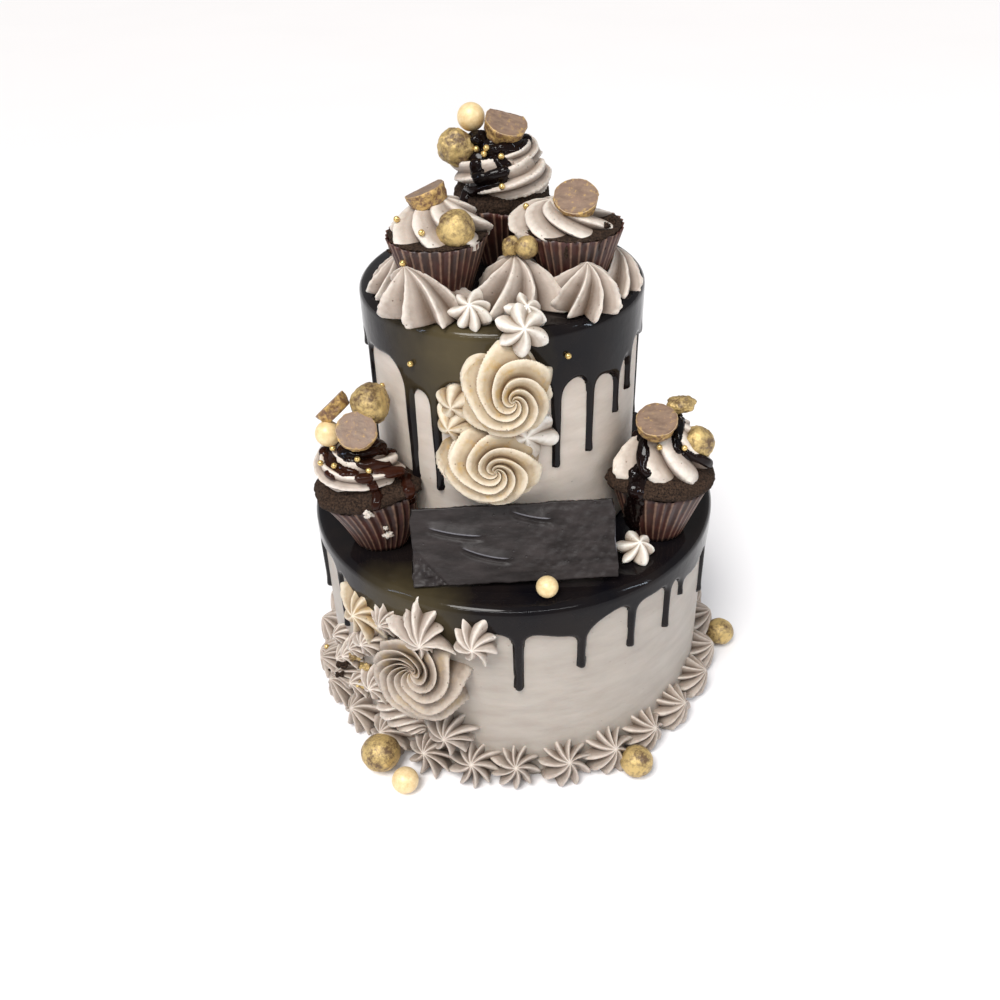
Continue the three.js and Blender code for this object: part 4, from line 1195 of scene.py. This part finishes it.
# How rough each truffle is
TRUFFLES = {
    "foot_truffle_left": 0.035, "foot_truffle_right": 0.035, "foot_truffle_side": 0.035,
    "ledge_left_truffle": 0.09, "ledge_right_truffle": 0.12, "top_left_truffle": 0.09,
    "top_middle_truffle": 0.13, "ledge_right_lump": 0.16,
}
PEARLS = ["foot_pearl", "ledge_pearl", "ledge_left_pearl", "top_middle_pearl"]
# Each cup's radius and height in mm, the azimuth, elevation and roll of its face, and how much of
# its radius is left where it was cut
CUPS = {
    "ledge_left_cup": (11.4, 8, 10, 52, 0, 1),
    "ledge_left_shell": (10.5, 8, -110, 45, 0, 1),
    "ledge_right_cup": (11.8, 8, -10, 68, 0, 1),
    "top_left_cup": (10.8, 8.5, -100, 70, 125, 0.4),
    "top_right_cup": (11.8, 9, -5, 60, 0, 1),
    "top_middle_cup": (11.8, 9, 35, 62, -35, 0.55),
}
# The two sweets in the nest of dollops: the place and the radii in mm, and the roughness
NEST = [((9.4, -44.2, 312.6), (6.5, 6.5, 6.5), 0.06), ((0.8, -43.8, 313.2), (5.4, 5.4, 6.9), 0.22)]


def ball(divisions):
    """Points and triangles of an even ball of radius 1"""
    draft = bmesh.new()
    bmesh.ops.create_icosphere(draft, subdivisions=divisions, radius=1)
    points = np.array([vertex.co[:] for vertex in draft.verts])
    faces = [[vertex.index for vertex in face.verts] for face in draft.faces]
    draft.free()
    return points, faces


def lump_shape(place, radii, rough, seed, divisions=5):
    """A ball pushed out of true by lumps of three sizes, within the given radii"""
    points, faces = ball(divisions)
    swell = noise(points, 0.8, seed) * rough + noise(points, 0.35, seed + 1) * rough * 0.5
    swell += noise(points, 0.14, seed + 2) * rough * 0.3
    points = points * (1 - rough + swell)[:, None]
    return {"points": points * radii + place, "faces": faces, "ridge": None}


def boxed(node):
    """The middle and the half sizes of a CAD node's box"""
    low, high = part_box(node)
    return np.array((low + high) / 2), np.array((high - low) / 2)


def cup_shape(place, cup, seed):
    """A chocolate cup seen from its face, with a ragged gilded side; cut flat where it was halved"""
    radius, height, azimuth, elevation, roll, cut = cup
    radius, half = radius * MM, height * MM / 2
    rise = np.linspace(0.06, 0.93, 12)
    profile = [(radius * 0.4, -half), (radius * 0.78, -half)]
    profile += [(radius * (0.84 + 0.16 * share), half * (2 * share - 1)) for share in rise]
    profile += [(radius * share, half) for share in (0.97, 0.93, 0.8, 0.6, 0.4, 0.2)]
    rings = revolved(profile, 110)
    on_side = np.array([0, 0.5] + [1] * len(rise) + [0.8, 0.3, 0, 0, 0, 0])[:, None]
    out = rings * (1, 1, 0) / np.hypot(rings[..., 0], rings[..., 1])[..., None]
    rings = rings + out * (layered(rings, seed, (3.2, 0.55), (1.2, 0.3)) * on_side)[..., None]
    rings[..., 2] += layered(rings, seed + 2, (6, 0.25)) * (1 - on_side)
    limit = radius * cut + layered(rings, seed + 3, (2.5, 0.4))
    rings[..., 1] = np.minimum(rings[..., 1], limit)
    shape = lofted(rings, (0, 0, -half), (0, 0, half), 1 - on_side + 0 * rings[..., 0])
    return moved(shape, lambda points: aimed(points, place, azimuth, elevation, roll))


def add_sweets():
    """Puts each sweet in the box of its CAD node"""
    for i, (node, rough) in enumerate(TRUFFLES.items()):
        place, radii = boxed(node)
        shape = lump_shape(place, radii, rough, 100 + 3 * i)
        add_piece(f"{node}_rolled", shape, TRUFFLE, "gilding", node)
    for i, node in enumerate(PEARLS):
        place, radii = boxed(node)
        shape = lump_shape(place, radii, 0.008, 140 + 3 * i, divisions=4)
        add_piece(f"{node}_sugar", shape, PEARL, "pearl", node)
    for i, (node, cup) in enumerate(CUPS.items()):
        shape = cup_shape(boxed(node)[0], cup, 160 + 4 * i)
        add_piece(f"{node}_gilded", shape, CUP, "gilding", node)
    nest = joined([
        lump_shape(in_mm(*place), in_mm(*radii), rough, 190 + 3 * i, divisions=4)
        for i, (place, radii, rough) in enumerate(NEST)
    ])
    add_piece("nest_gilded", nest, TRUFFLE, "gilding", "nest_sweets")


# Plaque: a thin slab of moulded chocolate that leans on the upper tier

PLAQUE = {
    "width": 114 * MM, "height": 44 * MM, "thickness": 3.4 * MM, "foot": -104 * MM, "lean": 31,
    "x": 0.4 * MM, "roll": 2,
}
PLAQUE_COLUMNS = 210
# Creases across its face: the start and the end of each as shares of the width and the height
CREASES = [
    ((-0.43, 0.77), (-0.14, 0.62)),
    ((-0.27, 0.5), (-0.01, 0.31)),
    ((-0.01, 0.92), (0.2, 0.79)),
]


def creased(across, up):
    """How high the plaque's folds stand, in mm, and where their edges catch the light"""
    height, shine = np.zeros_like(across), np.zeros_like(across)
    for (start, top), (end, low) in CREASES:
        share = (across - start) / (end - start)
        level = top + (low - top) * (1 - (1 - np.clip(share, 0, 1)) ** 1.8)
        above = (up - level) * PLAQUE["height"] / MM
        slow, quick = np.exp(-((above / 3.2) ** 2)), np.exp(-((above / 0.5) ** 2))
        ridge = np.where(above > 0, 0.7 * slow + 0.3 * quick, quick)
        trough = -0.9 * np.exp(-(((above + 2.2) / 1.3) ** 2))
        within = ease(share, -0.04, 0.18) * (1 - ease(share, 0.82, 1.04))
        height += (1.5 * ridge + trough) * within
        shine = np.maximum(shine, quick * within)
    return height, shine


def plaque_shape():
    """The slab as loops round its section, from one ragged end to the other"""
    width, height, thickness = PLAQUE["width"], PLAQUE["height"], PLAQUE["thickness"]
    bevel = 0.5 * MM / height
    face = [(up, 0.5) for up in np.linspace(bevel, 1 - bevel, 96)]
    back = [(up, -0.5) for up in np.linspace(1 - bevel, bevel, 40)]
    loop = np.array(face + [(1, 0.3), (1, -0.3)] + back + [(0, -0.3), (0, 0.3)])
    across = np.linspace(-0.5, 0.5, PLAQUE_COLUMNS)[:, None]
    across, up, depth = np.broadcast_arrays(across, *loop.T[:, None, :])
    x, y = across * width, up * height
    flat = np.stack([x, y, depth * thickness], -1)
    bow = 0.5 * MM * np.sin(np.radians(540 * across + 260 * up)) * (0.5 - across)
    bow += 1.2 * MM * np.cos(np.radians(150 * across))
    front = depth > 0.2
    rough = layered(flat, 71, (3.4, 0.3), (1.5, 0.14))
    roughness = 0.25 + 0.75 * ease(across, -0.05, 0.3)
    chip = ease((-0.33 - across) * width - up * height * 0.9, -0.6 * MM, 0.6 * MM)
    broken = chip * (noise(flat, 2.2 * MM, 73) * 0.9 - 0.9) * MM
    folds, shine = creased(across, up)
    z = depth * thickness + bow + front * (folds * MM + rough * roughness + broken)
    ends = np.sign(across) * ease(np.abs(across), 0.42, 0.5)
    x = x + ends * layered(flat * (0, 1, 1), 74, (6, 1.1), (2, 0.5))
    edges = ease(np.abs(up - 0.5), 0.44, 0.5) * np.sign(up - 0.5)
    y = y + edges * layered(flat * (1, 0, 1), 76, (9, 0.5), (2, 0.3))
    rings = np.stack([x, y, z], -1)
    shape = lofted(rings, rings[0].mean(axis=0), rings[-1].mean(axis=0), shine * front)
    return moved(shape, leaned_back)


def leaned_back(points):
    """Stands the plaque up from lying flat, leaning back on its foot"""
    turned = turned_z(points, math.radians(PLAQUE["roll"]))
    place = (PLAQUE["x"], PLAQUE["foot"], LEDGE + 0.3 * MM + PLAQUE["thickness"] / 2)
    stood = turned_x(turned, math.radians(90 - PLAQUE["lean"])) + place
    stood[..., 2] = np.maximum(stood[..., 2], LEDGE)
    return stood


# Sauce: dark chocolate poured over three of the cupcakes

# A stroke is a line of pixels of the photograph and its half width in pixels, and it is laid on what
# the camera sees there
STROKES = {
    "ledge_left": [
        ([(326, 452), (329, 458), (335, 468), (344, 473), (353, 473)], 5.0),
        ([(343, 450), (352, 457), (364, 463), (380, 468), (398, 472), (404, 476)], 6.2),
        ([(366, 452), (378, 446), (388, 440), (398, 446), (406, 452)], 7.2),
        ([(372, 451), (392, 452)], 3.5),
        ([(384, 428), (392, 433), (401, 441), (408, 447)], 6.4),
        ([(362, 478), (366, 480)], 5.5),
        ([(328, 474), (331, 476)], 3.6),
        ([(372, 484), (377, 496), (376, 506)], 3.8),
        ([(406, 479), (409, 489), (412, 500)], 4.6),
    ],
    "ledge_right": [
        ([(642, 430), (643, 446), (642, 460), (640, 470)], 5.0),
        ([(634, 473), (640, 475), (645, 473)], 4.6),
        ([(639, 476), (636, 488), (635, 500), (632, 514), (631, 524)], 7.5),
        ([(681, 412), (680, 422), (677, 432), (676, 440), (678, 448)], 4.6),
        ([(686, 452), (693, 457), (703, 460), (709, 464)], 4.2),
    ],
    "top_middle": [
        ([(476, 128), (484, 134), (490, 138)], 4.5),
        ([(488, 147), (499, 149), (508, 148), (518, 145), (524, 139)], 6.0),
        ([(474, 160), (482, 157), (490, 156), (499, 158), (505, 166)], 5.2),
        ([(476, 166), (477, 174), (479, 180), (487, 180), (496, 175), (503, 172)], 5.2),
        ([(464, 199), (468, 191), (478, 187), (490, 183), (502, 178)], 4.6),
        ([(440, 179), (446, 173), (454, 170)], 5.4),
    ],
}
# Runs of sauce down the far side of a cupcake: the azimuth, the lowest height in mm and the half width
BACK_RUNS = [(150, 42, 3.0), (195, 30, 2.4), (240, 44, 3.4)]
# The sauce: its thickness, the cells of its mesh and how often the mesh is smoothed
SAUCE_THICKNESS = 2.1 * MM
SAUCE_CELL = 0.95 * MM
SAUCE_ROUNDS = 3
# How far apart the points along a stroke are in pixels, and along a run in metres
STROKE_STEP = 1.2
RUN_STEP = 1.2 * MM
# How far a run drifts round as it goes down, in degrees a metre
RUN_DRIFT = 300
# How wide a pixel of the photograph is at the cupcakes
PIXEL = 0.68 * MM
# Clots of sauce that the sweets on a cupcake are set in: the place and the radius in mm
CLOTS = {
    "ledge_left": ((-88, -57, 213.5), 11),
    "ledge_right": ((93, -46, 206), 10.5),
    "top_middle": ((-15, 9.5, 350.5), 8.5),
}


def seen_at(graph, u, v):
    """What the camera sees at a pixel: whether it hits, the point, its normal and the piece"""
    hit, place, normal, _, piece, _ = bpy.context.scene.ray_cast(graph, CAMERA_PLACE, pixel_ray(u, v))
    return hit, place, normal, piece


def stroke_points(graph, strokes, pieces):
    """Points along the strokes where they fall on a cupcake's pieces, each with its half width"""
    found = []
    for path, width in strokes:
        for start, end in zip(path, path[1:]):
            steps = max(2, int(math.dist(start, end) / STROKE_STEP))
            for share in np.linspace(0, 1, steps):
                u, v = (a + (b - a) * share for a, b in zip(start, end))
                hit, place, _, piece = seen_at(graph, u, v)
                if hit and piece.name in pieces:
                    found.append((*place, width * PIXEL))
    return found


def back_points(tree, cupcake):
    """Points down the runs at the back, found by looking in at the cupcake's axis"""
    found = []
    x, y = in_mm(*cupcake["place"])
    top = cupcake["floor"] + CASE["height"] + cupcake["dome"] * MM + 12 * MM
    for azimuth, low, width in BACK_RUNS:
        for z in np.arange(cupcake["floor"] + low * MM, top, RUN_STEP):
            turn = math.radians(azimuth + RUN_DRIFT * (top - z))
            out = Vector((math.sin(turn), -math.cos(turn), 0))
            place = tree.ray_cast(Vector((x, y, z)) + out * 60 * MM, -out)[0]
            if place is not None:
                found.append((*place, width * MM))
    return found


def softened(shape, voxel, rounds):
    """A shape's outer skin as an even mesh, with its creases partly filled"""
    mesh = plain_mesh("draft", shape)
    draft = linked_object("draft", mesh)
    remesh = draft.modifiers.new("remesh", "REMESH")
    remesh.mode = "VOXEL"
    remesh.voxel_size = voxel
    smooth = draft.modifiers.new("smooth", "SMOOTH")
    smooth.factor = 0.5
    smooth.iterations = rounds
    graph = bpy.context.evaluated_depsgraph_get()
    result = bpy.data.meshes.new_from_object(draft.evaluated_get(graph))
    points = np.array([vertex.co[:] for vertex in result.vertices])
    normals = np.array([vertex.normal[:] for vertex in result.vertices])
    faces = np.array([polygon.vertices[:] for polygon in result.polygons])
    bpy.data.objects.remove(draft)
    bpy.data.meshes.remove(mesh)
    bpy.data.meshes.remove(result)
    return points, normals, faces


def sauce_shape(shape, wet, seed):
    """A glossy skin over the parts of a shape that lie within reach of the wet points"""
    points, normals, faces = softened(shape, SAUCE_CELL, SAUCE_ROUNDS)
    inside = np.full(len(points), -1.0)
    for x, y, z, width in wet:
        distance = np.linalg.norm(points - (x, y, z), axis=1)
        inside = np.maximum(inside, 1 - distance / width)
    inside += 0.22 * noise(points, 4 * MM, seed)
    edge = np.clip(inside / 0.45, 0, 1)
    thickness = SAUCE_THICKNESS * np.sqrt(1 - (1 - edge) ** 2) - 0.4 * MM
    kept = (inside[faces] > 0).any(axis=1)
    used, faces = np.unique(faces[kept], return_inverse=True)
    points = points + normals * thickness[:, None]
    return {"points": points[used], "faces": faces.reshape(-1, 4).tolist(), "ridge": None}


def add_sauce(coated):
    """Pours the sauce over the joined shapes of the cupcakes"""
    graph = bpy.context.evaluated_depsgraph_get()
    for i, name in enumerate(STROKES):
        cupcake, shape = CUPCAKES[name], coated[name]
        tree = BVHTree.FromPolygons(shape["points"].tolist(), shape["faces"])
        pieces = {f"{name}_paper", f"{name}_crown", f"{name}_cream"}
        wet = stroke_points(graph, STROKES[name], pieces) + back_points(tree, cupcake)
        place, radius = CLOTS[name]
        clot = lump_shape(in_mm(*place), radius * MM, 0.3, 200 + 3 * i, divisions=4)
        shape = joined([sauce_shape(shape, wet, 80 + i), clot])
        material = WARM_SAUCE if name == "ledge_left" else SAUCE
        add_piece(f"{name}_sauce", shape, material, "ganache")


# Small dragees, where the photograph shows each of them

DRAGEE_PIXELS = [
    (487, 148), (485, 153), (474, 149), (501, 158), (502, 188), (398, 221), (422, 234), (405, 262),
    (527, 208), (384, 385), (332, 446), (322, 464), (336, 466), (358, 461), (368, 473), (661, 447),
    (685, 449), (567, 355), (412, 363), (327, 646),
]
# Scraps that lie on the cake: the material, the slot, and for each a pixel of the photograph and the
# radius in mm
SCRAPS = {
    "crumbs": (CRUMB, "sponge", [
        (344, 666, 5.0), (340, 673, 4.2), (347, 662, 3.6), (330, 669, 2.0), (612, 223, 4.0),
        (606, 226, 3.2), (391, 252, 2.2),
    ]),
    "gold_leaf": (TRUFFLE, "gilding", [
        (356, 657, 6.0), (362, 664, 6.4), (368, 670, 5.4), (360, 686, 4.4),
    ]),
    "cream_smears": (PALE_CREAM, "cream", [
        (389, 533, 4.6), (385, 527, 2.8), (367, 512, 3.8), (372, 514, 2.4),
    ]),
}
# How pale the scraps of cream are, as a share of a ridge, which sets their painted shade and painted
# highlight
SCRAP_TONE = 0.7


def add_dragees():
    """Small gold balls, each sunk a little into what the camera sees at its pixel"""
    graph = bpy.context.evaluated_depsgraph_get()
    points, faces = ball(3)
    grains = []
    for u, v in DRAGEE_PIXELS:
        hit, place, normal, _ = seen_at(graph, u, v)
        if hit:
            centre = np.array(place + normal * DRAGEE_RADIUS * DRAGEE_LIFT)
            grains.append({"points": points * DRAGEE_RADIUS + centre, "faces": faces, "ridge": None})
    add_piece("dragees", joined(grains), DRAGEE, "gilding")


def add_scraps():
    """Crumbs, crumpled gold leaf and smears of cream, each laid on what the camera sees there"""
    graph = bpy.context.evaluated_depsgraph_get()
    for name, (material, slot, places) in SCRAPS.items():
        scraps = []
        for u, v, radius in places:
            hit, place, normal, _ = seen_at(graph, u, v)
            if hit:
                centre = np.array(place + normal * radius * 0.25 * MM)
                radii = in_mm(radius, radius * 0.6, radius * 0.9)
                scrap = lump_shape(centre, radii, 0.5, 210 + u + v, divisions=4)
                scraps.append({**scrap, "ridge": np.full(len(scrap["points"]), SCRAP_TONE)})
        add_piece(name, joined(scraps), material, slot)


# Scene

FLOOR_REACH = 6.0
SKY_STRENGTH = 0.38
SUN_STRENGTH = 2.75
SUN_SPREAD = math.radians(24)
LAMP_TARGET = Vector((0, 0, 0.15))
# Narrow lamps: the place, width, height, radiance and colour
LAMPS = {
    "front_strip": ((0, -1.15, 1.1), 1.5, 0.025, 55, (0.96, 0.98, 1)),
    "left_strip": ((-1.1, -0.55, 0.8), 0.02, 0.9, 40, (0.55, 0.7, 1)),
    "right_strip": ((1.15, -0.45, 0.8), 0.03, 0.9, 42, (0.75, 0.86, 1)),
}


def add_floor():
    corners = [(x * FLOOR_REACH, y * FLOOR_REACH, 0) for x, y in ((-1, -1), (1, -1), (1, 1), (-1, 1))]
    mesh = plain_mesh("floor", {"points": np.array(corners), "faces": [[0, 1, 2, 3]]})
    mesh.materials.append(FLOOR)
    linked_object("floor", mesh)


def facing(way):
    """The turn that points a lamp in a direction"""
    return Vector(way).to_track_quat("-Z", "Y").to_matrix().to_4x4()


def add_lamp(name, place, width, height, radiance, color):
    """A rectangle of light that faces the cake"""
    data = bpy.data.lights.new(name, "AREA")
    data.shape = "RECTANGLE"
    data.size, data.size_y = width, height
    data.energy = radiance * math.pi * width * height
    data.color = color
    place = Vector(place)
    linked_object(name, data, Matrix.Translation(place) @ facing(LAMP_TARGET - place))


def add_sun():
    data = bpy.data.lights.new("sun", "SUN")
    data.energy = SUN_STRENGTH
    data.angle = SUN_SPREAD
    data.color = (1, 0.985, 0.96)
    linked_object("sun", data, facing((0.3, 0.5, -1)))


def add_light():
    """Even white surroundings, one soft sun, and narrow lamps whose glints run along the glaze"""
    world = bpy.data.worlds.new("studio")
    bpy.context.scene.world = world
    world.use_nodes = True
    sky = world.node_tree.nodes["Background"]
    sky.inputs["Color"].default_value = (1, 1, 1, 1)
    sky.inputs["Strength"].default_value = SKY_STRENGTH
    add_sun()
    for name, lamp in LAMPS.items():
        add_lamp(name, *lamp)


add_camera()
add_light()
add_floor()
bpy.context.scene.view_settings.view_transform = "Standard"

add_tiers()
add_glazes()
add_piece("border_stars", border_shape(), BORDER_CREAM, "cream", "base_border")
add_roses()
add_small_stars()
add_cluster()
add_dollops()
coated = add_cupcakes()
add_sweets()
add_piece("leaning_plaque", plaque_shape(), PLAQUE_CHOCOLATE, "dark_chocolate", "plaque")
add_sauce(coated)
add_scraps()
add_dragees()
